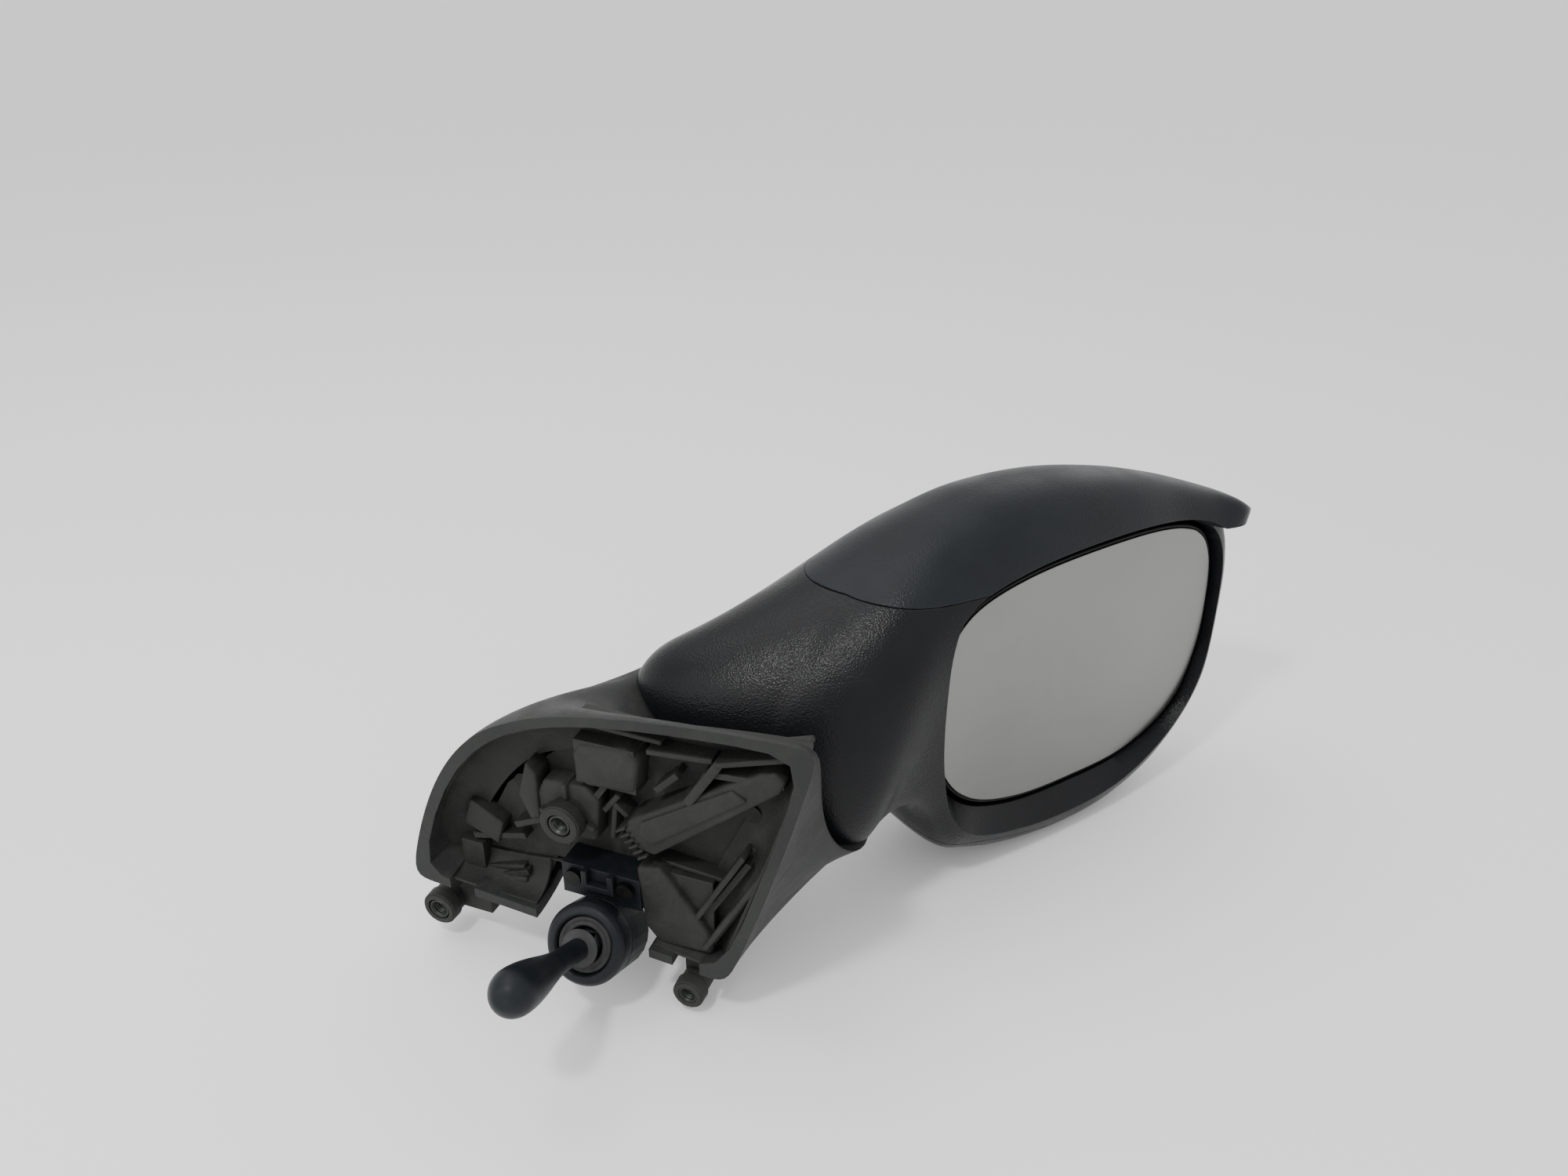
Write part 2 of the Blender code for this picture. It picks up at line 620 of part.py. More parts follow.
def make_glass(parts, tools):
    face = 0.0
    back = face + GLASS_THICKNESS
    pad_low = back + CLEARANCE
    pad_high = pad_low + PAD_THICKNESS
    holder_low = pad_high + CLEARANCE
    holder_high = holder_low + HOLDER_THICKNESS
    head_slab("mirror_glass", glass_outline(-1.2), face, back, "glass", parts)
    head_slab("adhesive_pad", glass_outline(-6), pad_low, pad_high, "pad", parts)
    holder = head_slab("glass_holder", glass_outline(0), 0.6, holder_high, "cover", parts)
    cut(holder, head_slab("holder_recess", glass_outline(-1.2 + CLEARANCE), -1, holder_low, "cover", tools))
    centre = head_point(*[GLASS_MIDDLE[0], BALL_DEPTH, GLASS_MIDDLE[1]])
    socket = cylinder("holder_socket", centre - DEEP * (BALL_DEPTH - holder_low - 1), centre - DEEP * 0.8, 12,
                      "cover", tools)
    join(holder, socket)
    cut(holder, ball("holder_socket_hollow", centre, BALL_RADIUS + CLEARANCE, "cover", tools))
    ball("glass_pivot_ball", centre, BALL_RADIUS, "lever", parts)
    return centre


def make_carrier(parts, tools, casing, ball_centre):
    """Plate behind the glass, screwed to bosses inside the casing, with the cup that holds the ball."""
    half_s, half_z = 46.0, 26.0
    outline = [(GLASS_MIDDLE[0] + half_s * superellipse(math.radians(a), 4)[0],
                GLASS_MIDDLE[1] + half_z * superellipse(math.radians(a), 4)[1]) for a in range(0, 360, 12)]
    carrier = head_slab("glass_carrier", outline, CARRIER_DEPTH, CARRIER_DEPTH + CARRIER_THICKNESS, "bracket",
                        parts)
    cup = cylinder("carrier_cup", ball_centre + DEEP * 2.4, head_point(GLASS_MIDDLE[0], CARRIER_DEPTH + 1, 0), 12,
                   "bracket", tools)
    join(carrier, cup)
    cut(carrier, ball("carrier_cup_hollow", ball_centre, BALL_RADIUS + CLEARANCE, "bracket", tools))
    spots = ((GLASS_MIDDLE[0] - 38, 18), (GLASS_MIDDLE[0] - 38, -18), (GLASS_MIDDLE[0] + 38, 0))
    for k, (s, z) in enumerate(spots, 1):
        back = CARRIER_DEPTH + CARRIER_THICKNESS
        hole = cylinder(f"carrier_hole_{k}", head_point(s, back - 8, z), head_point(s, back + 4, z),
                        2.0 + CLEARANCE, "bracket", tools, segments=16)
        cut(carrier, hole)
        boss = cylinder(f"casing_boss_{k}", head_point(s, back + CLEARANCE, z),
                        head_point(s, front_depth(s, z) - 1.2, z), 4.5, "cover", tools, segments=20)
        join(casing, boss)
        cut(casing, cylinder(f"casing_boss_hole_{k}", head_point(s, back - 2, z), head_point(s, back + 11, z),
                             2.0, "cover", tools, segments=16))
        turned(f"carrier_screw_{k}", [(0, 0), (3.6, 0), (3.6, 2.2), (1.7, 2.2), (1.7, 12), (0, 12)][::-1],
               head_point(s, CARRIER_DEPTH - CLEARANCE - 2.2, z), DEEP, "steel", parts, steps=16)


def make_lever(parts, tools):
    """Stem through a slotted ball, with the spider that pulls the cables behind it."""
    centre = LEVER_RING - LEVER_AXIS * LEVER_BALL_BEHIND
    knob = LEVER_BALL_BEHIND + (LEVER_KNOB - LEVER_RING).length
    profile = [(0, knob + KNOB_RADIUS), (0.6 * KNOB_RADIUS, knob + 0.85 * KNOB_RADIUS),
               (0.9 * KNOB_RADIUS, knob + 0.5 * KNOB_RADIUS), (KNOB_RADIUS, knob),
               (0.92 * KNOB_RADIUS, knob - 8), (0.7 * KNOB_RADIUS, knob - 17), (4.4, knob - 27),
               (STEM_RADIUS + 1.6, LEVER_BALL_RADIUS + 8), (STEM_RADIUS + 1.6, LEVER_BALL_RADIUS + 1),
               (STEM_RADIUS, LEVER_BALL_RADIUS + 1), (STEM_RADIUS, -SPIDER_BEHIND - 4),
               (0, -SPIDER_BEHIND - 4)]
    turned("adjust_lever", profile, centre, LEVER_AXIS, "lever", parts)
    bead = ball("lever_ball", centre, LEVER_BALL_RADIUS, "lever", parts)
    swing = LEVER_BALL_RADIUS * math.tan(math.radians(LEVER_SWING + 1))
    slot = 2 * (STEM_RADIUS + CLEARANCE)
    cut(bead, box("lever_ball_slot", (0, 0, 0), (slot + 2 * swing, slot, 3 * LEVER_BALL_RADIUS), "lever", tools,
                  frame_at(centre, LEVER_AXIS, UP)))
    bore = STEM_RADIUS + CLEARANCE
    turned("cable_spider", [(bore, -SPIDER_BEHIND), (9.5, -SPIDER_BEHIND), (9.5, -SPIDER_BEHIND - 3),
                            (bore, -SPIDER_BEHIND - 3)], centre, LEVER_AXIS, "steel", parts)
    turned("lever_collar", [(COLLAR_RADIUS - 4.5, 8.0), (COLLAR_RADIUS - 0.6, 7.2), (COLLAR_RADIUS, 5.0),
                            (COLLAR_RADIUS, -1.0), (COLLAR_RADIUS - 4.5, -1.0)], centre, LEVER_AXIS, "lever", parts)
    turned("lever_seal", [(STEM_RADIUS + 4.2, 6.6), (COLLAR_RADIUS - 4.5 - CLEARANCE, 6.6),
                          (COLLAR_RADIUS - 4.5 - CLEARANCE, 5.0), (STEM_RADIUS + 4.7, 5.0)],
           centre, LEVER_AXIS, "pad", parts)
    wall = COLLAR_RADIUS - 2
    low = -SPIDER_BEHIND - 7
    housing = turned("lever_housing", [(wall, -1 - CLEARANCE), (COLLAR_RADIUS, -1 - CLEARANCE),
                                       (COLLAR_RADIUS, low - 1.5), (7, low - 1.5), (7, low), (wall, low)],
                     centre, LEVER_AXIS, "lever", parts)
    housing["manifold"] = True
    block_top = BRACKET_DEPTH - CLEARANCE
    block = box("housing_block", ((HOUSING_FRONT + block_top) / 2, HOUSING_MIDDLE, -31.5),
                (block_top - HOUSING_FRONT, 30, 13), "lever", tools)
    join(housing, block)
    cut(housing, cylinder("housing_hollow", centre + LEVER_AXIS * low, centre - LEVER_AXIS, wall, "lever", tools))
    for k, (y, z) in enumerate(HOUSING_SCREWS, 1):
        spot = Vector((HOUSING_FRONT, y, z))
        cut(housing, cylinder(f"housing_hole_{k}", spot - OUTBOARD * 5, spot + OUTBOARD * 20, 1.6 + CLEARANCE,
                              "lever", tools, segments=16))
        turned(f"housing_screw_{k}", [(0, 17), (1.6, 17), (1.6, -CLEARANCE), (3.2, -CLEARANCE), (3.2, -2.2),
                                      (0, -2.2)], spot, OUTBOARD, "steel", parts, steps=16)
    clip = [(-6, -3.5), (6, -3.5), (6, 4), (4, 4), (4, -1.5), (-4, -1.5), (-4, 4), (-6, 4)]
    frame = Matrix(((0, 0, 1, 0), (1, 0, 0, HOUSING_MIDDLE), (0, 1, 0, -28.5), (0, 0, 0, 1)))
    prism("housing_clip", clip, frame, 1.2, HOUSING_FRONT - CLEARANCE, "lever", parts)
    return centre


def yz_frame():
    """Frame for outlines drawn in (Y, Z) and raised along X."""
    return Matrix(((0, 0, 1, 0), (1, 0, 0, 0), (0, 1, 0, 0), (0, 0, 0, 1)))


def make_bracket(parts, tools, cover):
    """Web behind the door face with three bosses, ribs and the seat of the pivot."""
    web = [(-2, 22), (50, 22), (84, 14), (106, -6), (122, -36), (126, -44), (92, -42), (90, -34), (45, -34),
           (43, -44), (22, -44)]
    web_back = BRACKET_DEPTH + BRACKET_WEB
    bracket = prism("base_bracket", web, yz_frame(), BRACKET_DEPTH, web_back, "bracket", parts)
    bracket["manifold"] = True

    def block(name, y, z, front, back=BRACKET_DEPTH + 1.0):
        join(bracket, box(name, ((front + back) / 2, sum(y) / 2, sum(z) / 2),
                          (back - front, y[1] - y[0], z[1] - z[0]), "bracket", tools))

    def rib(name, start, end, front, thickness=2.2):
        """Upright rib on the web between two (Y, Z) points."""
        a, b = Vector((0, *start)), Vector((0, *end))
        along = b - a
        spot = frame_at((a + b) / 2, OUTBOARD, along)
        depth = BRACKET_DEPTH + 1.0 - front
        join(bracket, box(name, (0, 0, front + depth / 2), (along.length, thickness, depth), "bracket", tools,
                          spot))

    block("raised_box", (50, 72), (10, 27), 6.0)
    block("latch_casing", (24, 44), (-44, -20), 7.0)
    rib("bent_rib_a", (-2, 28), (24, 26), 5.0)
    rib("bent_rib_b", (24, 26), (33, 8), 5.0)
    rib("short_rib", (36, 20), (44, 12), 8.0)
    rib("front_rib_a", (128, -52), (98, -40), 9.0)
    rib("front_rib_b", (120, -30), (98, -24), 10.0)
    rib("slot_rib_a", (5, -10), (24, -44), 5.0)
    rib("slot_rib_b", (11, -8), (31, -42), 7.0)
    rib("centre_rib_a", (70, -2), (62, 10), 8.0)
    rib("centre_rib_b", (84, -10), (100, -18), 8.0)
    room = loft("bracket_room", foot_room(WALL + CLEARANCE, RIM_WIDTH + CLEARANCE), "bracket", tools)
    cut(room, seat_block("bracket_seat", -PARTING_GAP / 2 - SEAT_THICKNESS - CLEARANCE, 10, tools))
    keep(bracket, room)
    for name, y, z, back in ARMS:
        block(name, y, z, 9.0, back)
    for k, ((y, z), radius) in enumerate(zip((BOSS_CENTRE, BOSS_FRONT, BOSS_REAR), BOSS_RADII), 1):
        join(bracket, cylinder(f"boss_{k}", Vector((0.0, y, z)), Vector((BRACKET_DEPTH + 1.5, y, z)), radius,
                               "bracket", tools))
        cut(bracket, cylinder(f"boss_bore_{k}", Vector((-2, y, z)), Vector((INSERT_LENGTH + 0.5, y, z)),
                              INSERT_RADIUS + CLEARANCE if k < 3 else 3.2 + CLEARANCE, "bracket", tools))
        outer = INSERT_RADIUS if k < 3 else 3.2
        turned(f"threaded_insert_{k}", [(INSERT_BORE, INSERT_LENGTH), (outer, INSERT_LENGTH),
                                        (outer, 0.2), (INSERT_BORE, 0.2)],
               Vector((0, y, z)), OUTBOARD, "steel", parts, steps=20)
    post_flange_low = -PARTING_GAP / 2 - SEAT_THICKNESS - 2 * CLEARANCE - 3
    seat = cylinder("pivot_seat", pivot_spot(post_flange_low - 3), pivot_spot(post_flange_low),
                    SEAT_RADIUS, "bracket", tools)
    arm = box("seat_arm", (34, 14.5, -24.5), (36, 8, 7), "bracket", tools)
    join(bracket, arm, seat)
    cut(bracket, cylinder("seat_bore", pivot_spot(-40), pivot_spot(5), POST_RADIUS + CLEARANCE, "bracket", tools),
        cylinder("seat_clear", pivot_spot(post_flange_low), pivot_spot(10), SEAT_RADIUS + 1, "bracket", tools))
    for k, (y, z) in enumerate(HOUSING_SCREWS, 1):
        cut(bracket, cylinder(f"bracket_hole_{k}", Vector((0, y, z)), Vector((30, y, z)), 1.6 + CLEARANCE,
                              "bracket", tools, segments=16))
    for k, (y, z) in enumerate(COVER_SCREWS, 1):
        boss = cylinder(f"cover_boss_{k}", Vector((web_back + CLEARANCE, y, z)),
                        Vector((depth_behind(cover, y, z) - 1.2, y, z)), 4.2, "cover", tools, segments=20)
        join(cover, boss)
        hole = cylinder(f"cover_boss_hole_{k}", Vector((0, y, z)), Vector((web_back + 3.6, y, z)), 1.9, "cover",
                        tools, segments=16)
        cut(cover, hole)
        cut(bracket, hole)
        turned(f"cover_screw_{k}", [(0, web_back + 3.2), (1.6, web_back + 3.2), (1.6, BRACKET_DEPTH - CLEARANCE),
                                    (3.4, BRACKET_DEPTH - CLEARANCE), (3.4, BRACKET_DEPTH - 2.4),
                                    (0, BRACKET_DEPTH - 2.4)], Vector((0, y, z)), OUTBOARD, "steel", parts, steps=16)
    return bracket


def depth_behind(cover, y, z):
    """X of the cover's outer surface straight behind (Y, Z) on the door face."""
    tree = BVHTree.FromPolygons([v.co for v in cover.data.vertices], [p.vertices[:] for p in cover.data.polygons])
    hit = tree.ray_cast(Vector((0.001, y * MM, z * MM)), OUTBOARD)[0]
    return hit.x / MM


# Routes of the three cable sheaths: from the lever housing to the post, and from the post to the carrier.
LOWER_ROUTES = (
    ((25, 66, -50), (36, 58, -38), (48, 43, -30), (58, 25, -28.5)),
    ((26, 60, -44), (36, 51, -33), (46, 38, -27), (54.5, 24, -27)),
    ((26, 58, -49), (35, 50, -38.5), (46, 34, -32), (55, 20.5, -30)),
)
# These are (s, t, z) in the head.
UPPER_ROUTES = (
    ((-38, 2, 12), (-26, 10, 11), (-12, 18, 6), (4, 25, 1), (20, 29, -4), (34, 33, -7), (44, 36, -10)),
    ((-42.5, 3.5, 14), (-34, 12, 18), (-18, 22, 16), (4, 30, 9), (24, 35, 5), (44, 37, 2), (68, 37, -4),
     (86, 37, -10)),
    ((-42, -1.5, 14), (-34, 3.5, 22), (-22, 13, 26), (-4, 22, 28), (16, 30, 30), (36, 36, 30), (56, 37, 27),
     (67, 37, 23)),
)
CARRIER_ENDS = ((50, -12), (94, -12), (72, 22))


def make_cables(parts, lever_centre):
    """Three sheaths, each parted at the fold pivot, where the lower and upper lengths meet."""
    step = 2.4 * 2 * CABLE_RADIUS
    side = frame_at(lever_centre, LEVER_AXIS, UP)
    exit_depth = -SPIDER_BEHIND - 7 - 1.5 - CLEARANCE
    for k, (low, high, end) in enumerate(zip(LOWER_ROUTES, UPPER_ROUTES, CARRIER_ENDS)):
        turn = math.radians(90 + 120 * k)
        leave = math.radians(90 - 120 * k)
        offset = OUTBOARD * (BUNDLE_RADIUS * math.sin(turn)) + OVAL_LONG * (-BUNDLE_RADIUS * math.cos(turn))
        start = [side @ Vector((3.6 * math.cos(leave), 3.6 * math.sin(leave), exit_depth - d)) for d in (0, 5)]
        reach = BEND_RADIUS - offset.dot(OVAL_LONG)
        bend = [pivot_spot(BEND_TOP - reach * math.sin(a)) + offset + OVAL_LONG * reach * (1 - math.cos(a))
                for a in (math.radians(60), math.radians(30), 0)]
        route = start + [Vector(p) for p in low] + bend + [pivot_spot(-CLEARANCE / 2) + offset]
        wire(f"lower_sheath_{k + 1}", smooth_route(route, step), CABLE_RADIUS, "cable", parts)
        inside = [pivot_spot(d) + offset for d in (CLEARANCE / 2, POST_ABOVE - 6, POST_ABOVE + 1)]
        s, z = end
        back = CARRIER_DEPTH + CARRIER_THICKNESS + CLEARANCE
        finish = [head_point(s, back + d, z) for d in (8, 3, 0)]
        route = smooth_route(inside + [head_point(*p) for p in high] + finish[:2], step)
        wire(f"upper_sheath_{k + 1}", route + finish[2:], CABLE_RADIUS, "cable", parts)


HEAD_PIECES = ("head_casing", "top_cap", "lower_trim", "glass_carrier", "carrier_screw_1", "carrier_screw_2",
               "carrier_screw_3", "upper_detent_ring", "upper_sheath_1", "upper_sheath_2", "upper_sheath_3")
GLASS_PIECES = ("glass_pivot_ball", "glass_holder", "adhesive_pad", "mirror_glass")
LEVER_PIECES = ("lever_ball", "adjust_lever", "cable_spider")


def hang_on_axis(name, origin, axis, pieces, parts):
    """Parents the moving pieces to an empty whose Z is their joint's axis."""
    empty = bpy.data.objects.new(name, None)
    empty.empty_display_size = 0.02
    spot = frame_at(origin, axis, OUTBOARD)
    spot.translation *= MM
    empty.matrix_world = spot
    parts.objects.link(empty)
    for piece in pieces:
        obj = bpy.data.objects[piece]
        obj.parent = empty
        obj.matrix_parent_inverse = spot.inverted()


def build():
    clear_scene()
    parts = new_collection("car_door_mirror")
    tools = new_collection("cutters")
    cover = make_base_cover(parts, tools)
    make_pivot(parts)
    casing = make_head(parts, tools)
    ball_centre = make_glass(parts, tools)
    make_carrier(parts, tools, casing, ball_centre)
    lever_centre = make_lever(parts, tools)
    make_bracket(parts, tools, cover)
    make_cables(parts, lever_centre)
    hang_on_axis("fold_axis", PIVOT_CENTRE, PIVOT_AXIS, HEAD_PIECES, parts)
    hang_on_axis("glass_axis", ball_centre, UP, GLASS_PIECES, parts)
    hang_on_axis("lever_axis", lever_centre, LEVER_AXIS, LEVER_PIECES, parts)


build()
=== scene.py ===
"""Looks of a left-hand manual car door mirror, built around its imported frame.

Frame: X points outboard from the door, Y to the front of the car, Z up; the origin is on the door face.
Sizes below are in millimetres; make_object turns them into metres.
"""
import json
import math

import bmesh
import bpy
from mathutils import Matrix, Vector


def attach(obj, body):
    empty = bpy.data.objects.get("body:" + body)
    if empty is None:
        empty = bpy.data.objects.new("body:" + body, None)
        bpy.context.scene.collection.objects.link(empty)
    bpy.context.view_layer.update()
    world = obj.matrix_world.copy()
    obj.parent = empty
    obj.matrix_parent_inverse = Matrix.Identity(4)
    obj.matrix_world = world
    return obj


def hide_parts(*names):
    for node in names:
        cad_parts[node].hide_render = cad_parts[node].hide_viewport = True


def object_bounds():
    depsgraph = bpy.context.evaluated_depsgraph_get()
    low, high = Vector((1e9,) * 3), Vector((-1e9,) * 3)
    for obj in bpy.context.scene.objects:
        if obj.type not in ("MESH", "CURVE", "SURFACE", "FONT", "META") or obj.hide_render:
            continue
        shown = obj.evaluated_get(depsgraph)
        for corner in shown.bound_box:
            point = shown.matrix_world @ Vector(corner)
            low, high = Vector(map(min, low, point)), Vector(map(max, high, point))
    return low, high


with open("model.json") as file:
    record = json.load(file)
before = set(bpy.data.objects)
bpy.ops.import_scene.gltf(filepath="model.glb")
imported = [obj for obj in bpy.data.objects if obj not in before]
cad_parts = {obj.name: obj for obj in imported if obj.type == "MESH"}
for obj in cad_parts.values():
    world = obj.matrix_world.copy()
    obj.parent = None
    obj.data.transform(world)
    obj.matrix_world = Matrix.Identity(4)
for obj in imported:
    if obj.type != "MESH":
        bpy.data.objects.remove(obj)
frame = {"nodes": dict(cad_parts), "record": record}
CAD_BOX = [list(corner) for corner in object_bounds()]

MM = 0.001
FINE = 160                 # points around the outer skins
COARSE = 40                # points around the hollows behind them
FINE_RIM = 160             # points around the glass and its opening

# ---------------------------------------------------------------- sizes shared with the frame (mm, degrees)
CLEARANCE = 0.3            # gap between touching pieces
WALL = 2.6                 # moulded wall of the covers
SMOOTH_ANGLE = 35.0        # edges sharper than this stay crisp
CORNER_PULL = 0.6          # how far a moved ring leans to its middle, which keeps its corners apart
REAR_TOP = (-15.0, 48.0)
REAR_BOTTOM = (17.0, -56.0)
REAR_BOW = (-2.6, -4.0)
TOP_SHOULDER = (94.0, 31.0)
FRONT_BOTTOM = (142.0, -47.0)
TOP_BOW = (68.0, 46.0)
FRONT_BOW = (126.0, 18.0)
OUTLINE_ANGLES = (18.0, 126.0, 198.0, 315.0)   # where those corners sit round the foot
FOOT_RISE = 14.0           # how straight the foot rises into the parting oval where it comes from below
FOOT_FLARE = 20.0          # how flat it runs in where it comes from above the oval's plane
FOOT_BLEND = 15.0          # distance below that plane over which the one becomes the other
RIM_WIDTH = 3.6
OVAL_CENTRE = Vector((60.0, 30.0, -2.5))
PIVOT_BEHIND = 28.0        # pivot behind the oval's centre
SWING_GAP = 1.2            # between the foot and the neck's rear end as it swings
PIVOT_LEAN = 30.0          # the pivot leans to the rear by this angle
OVAL_HALF_LENGTH = 51.0
OVAL_HALF_WIDTH = 24.5
PARTING_GAP = 1.5
SEAT_THICKNESS = 3.0
POST_BELOW = 10.5
DETENT_RADIUS = 15.0
HEAD_TOE = 35.0            # the glass faces inboard by this angle
GLASS_EDGE = Vector((94.0, -30.5, 0.0))
HEAD_LENGTH = 155.0
GLASS_THICKNESS = 2.0
GLASS_INSET = 1.2          # the glass ends this far inside the holder's outline
PAD_THICKNESS = 0.8
HOLDER_THICKNESS = 3.0
GLASS_GAP = 2.0            # between the glass and the casing around it
BALL_RADIUS = 8.0
BALL_DEPTH = 15.0          # ball centre behind the face of the glass
LEVER_RING = Vector((-12.0, 64.5, -44.5))
LEVER_KNOB = Vector((-55.0, 62.0, -23.0))
KNOB_RADIUS = 7.8
COLLAR_RADIUS = 14.5
LEVER_BALL_RADIUS = 6.0
LEVER_BALL_BEHIND = 8.0    # ball centre behind the middle of the collar's mouth
STEM_RADIUS = 2.2
SPIDER_BEHIND = 7.0        # spider's face behind the ball centre
BOOT_RADIUS = 12.4         # dome on the stem, not in the frame, over part of the seal's opening
BOOT_THICKNESS = 0.8
BOOT_ANGLES = range(14, 34, 3)
BOSS_CENTRE = (77.0, -6.0)
BOSS_FRONT = (133.0, -61.0)
BOSS_REAR = (32.0, -67.0)
BOSS_RADII = (7.0, 6.2, 5.2)
INSERT_RADIUS = 4.2
INSERT_BORE = 2.6
INSERT_LENGTH = 12.0
BRACKET_DEPTH = 15.0       # the bracket's web behind the door face
DETAIL_BACK = BRACKET_DEPTH + 1.0     # details end just inside that web
LEVER_BAY = (20.5, 68, -66)           # middle of the gap round the lever's housing
ARMS = (("lug_arm", (27.5, 36.5), (-66.0, -38.0), BRACKET_DEPTH + 2.5),
        ("front_arm", (116.0, 125.0), (-65.0, -32.0), BRACKET_DEPTH + 2.5),
        ("front_foot", (116.0, 133.0), (-65.0, -56.0), BRACKET_DEPTH + 2.5))

_LEAN = math.radians(PIVOT_LEAN)
_TOE = math.radians(HEAD_TOE)
UP = Vector((0, 0, 1))
OUTBOARD = Vector((1, 0, 0))
PIVOT_AXIS = Vector((0, -math.sin(_LEAN), math.cos(_LEAN)))
OVAL_LONG = Vector((0, math.cos(_LEAN), math.sin(_LEAN)))
PIVOT_CENTRE = OVAL_CENTRE - OVAL_LONG * PIVOT_BEHIND
ALONG = Vector((math.cos(_TOE), -math.sin(_TOE), 0))      # along the glass, outboard
DEEP = Vector((math.sin(_TOE), math.cos(_TOE), 0))        # into the head, away from the driver
LEVER_AXIS = (LEVER_KNOB - LEVER_RING).normalized()

CASING_STATIONS = (
    (8.0, -62.0, 76.0, -10.0, 66.0, 14.0),
    (30.0, -70.0, 81.0, -10.0, 63.0, 12.0),
    (60.0, -75.0, 81.0, -10.0, 58.0, 10.0),
    (90.0, -74.0, 76.0, -9.5, 51.0, 8.0),
    (115.0, -66.0, 69.0, -8.0, 43.0, 6.0),
    (134.0, -52.0, 59.0, -6.0, 34.0, 4.0),
    (146.0, -35.0, 49.0, -4.0, 26.0, 4.0),
    (HEAD_LENGTH - 3, -16.0, 34.0, -1.0, 18.0, 6.0),
)
CAP_END_STATIONS = (
    (134.0, -20.0, 62.3, -9.0, 34.0, 20.0),
    (147.0, 38.0, 57.3, -9.0, 16.0, 46.0),
    (154.5, 48.9, 52.3, -6.0, 1.0, 50.6),
)
HOLLOW_STATIONS = 7        # the casing's hollow ends at this station
CAP_HOLLOW_STATIONS = 6
NECK_SHOULDER = 0.12       # how much the top of the neck swells
RIM_DEPTH = 4.0            # the rim is solid from its lip to this far behind the glass's face
RIM_INBOARD = -14.0        # the rim's solid part starts here along the glass
SCOOP_DEPTH = 18.0         # the opening for the glass reaches this far behind its face
CAP_TOOL = (420, 320, 200)     # blocks that part the cap and the lower trim from the casing
TRIM_TOOL = (300, 300, 200)
FRONT_POWER = 2.2
REAR_TOP_POWER = 3.4
REAR_LOW_POWER = 5.5

APERTURE = ((-8.5, 20), (-6, 40), (3, 53), (25, 59.5), (59, 62), (98, 60.5), (128, 54), (143, 42),
            (148, 22), (148.3, -2), (145, -26), (129, -48), (100, -62.5), (66, -64.5), (38, -61.5),
            (14, -53.5), (0, -36), (-7, -10))
GLASS = ((-3.5, 10), (-1, 30), (11, 45), (36, 52), (72, 54), (110, 52.5), (132, 46), (142, 32), (145, 10),
         (143.5, -14), (133, -38), (106, -51.5), (72, -53), (40, -50), (15, -40), (0, -20))
GLASS_MIDDLE = (72.0, 0.0)


# ---------------------------------------------------------------- surfaces shared with the frame
def head_point(s, t, z):
    """Point at s along the glass, t behind its face, height z."""
    return GLASS_EDGE + ALONG * s + DEEP * t + UP * z


def pivot_spot(distance):
    """Point on the fold pivot's axis, distance above the middle of the parting gap."""
    return PIVOT_CENTRE + PIVOT_AXIS * distance


def frame_at(origin, axis, hint=UP):
    """Matrix whose Z is axis and whose X is as near to hint as it can be."""
    z = axis.normalized()
    x = (hint - z * hint.dot(z)).normalized()
    y = z.cross(x)
    return Matrix.Translation(origin) @ Matrix((x, y, z)).transposed().to_4x4()


def catmull(points, f, closed=False):
    """Smooth curve through points at f, where whole numbers are the points themselves."""
    n = len(points)
    i = int(math.floor(f)) if closed else max(0, min(n - 2, int(math.floor(f))))
    w = f - i

    def pick(k):
        return Vector(points[k % n] if closed else points[max(0, min(n - 1, k))])
    a, b, c, d = (pick(i + k) for k in (-1, 0, 1, 2))
    return 0.5 * (2 * b + (c - a) * w + (2 * a - 5 * b + 4 * c - d) * w ** 2
                  + (3 * b - a - 3 * c + d) * w ** 3)


def polar_outline(points, centre, count):
    """Closed smooth outline sampled at equal angles round centre, from the inboard side."""
    fine = [catmull(points, k / 48, closed=True) for k in range(48 * len(points))]
    angles = [math.atan2(p[1] - centre[1], p[0] - centre[0]) for p in fine]
    sampled = []
    for k in range(count):
        want = math.pi - 2 * math.pi * k / count
        for i, point in enumerate(fine):
            after = fine[(i + 1) % len(fine)]
            turn = (angles[i] - want + math.pi) % (2 * math.pi) - math.pi
            turn_after = (angles[(i + 1) % len(fine)] - want + math.pi) % (2 * math.pi) - math.pi
            if turn >= 0 > turn_after and turn - turn_after < 1:
                sampled.append(point + (after - point) * (turn / (turn - turn_after)))
                break
    return sampled


def grown(outline, centre, distance):
    """Outline moved outwards by about distance."""
    moved = []
    n = len(outline)
    for i, point in enumerate(outline):
        along = (outline[(i + 1) % n] - outline[i - 1]).normalized()
        normal = Vector((along[1], -along[0]))
        if normal.dot(point - Vector(centre)) < 0:
            normal.negate()
        moved.append(point + normal * distance)
    return moved


def bezier(a, bow, b, f):
    """Point at share f of the curve from a to b that bow pulls on."""
    a, bow, b = Vector(a), Vector(bow), Vector(b)
    return a * (1 - f) ** 2 + bow * 2 * f * (1 - f) + b * f ** 2


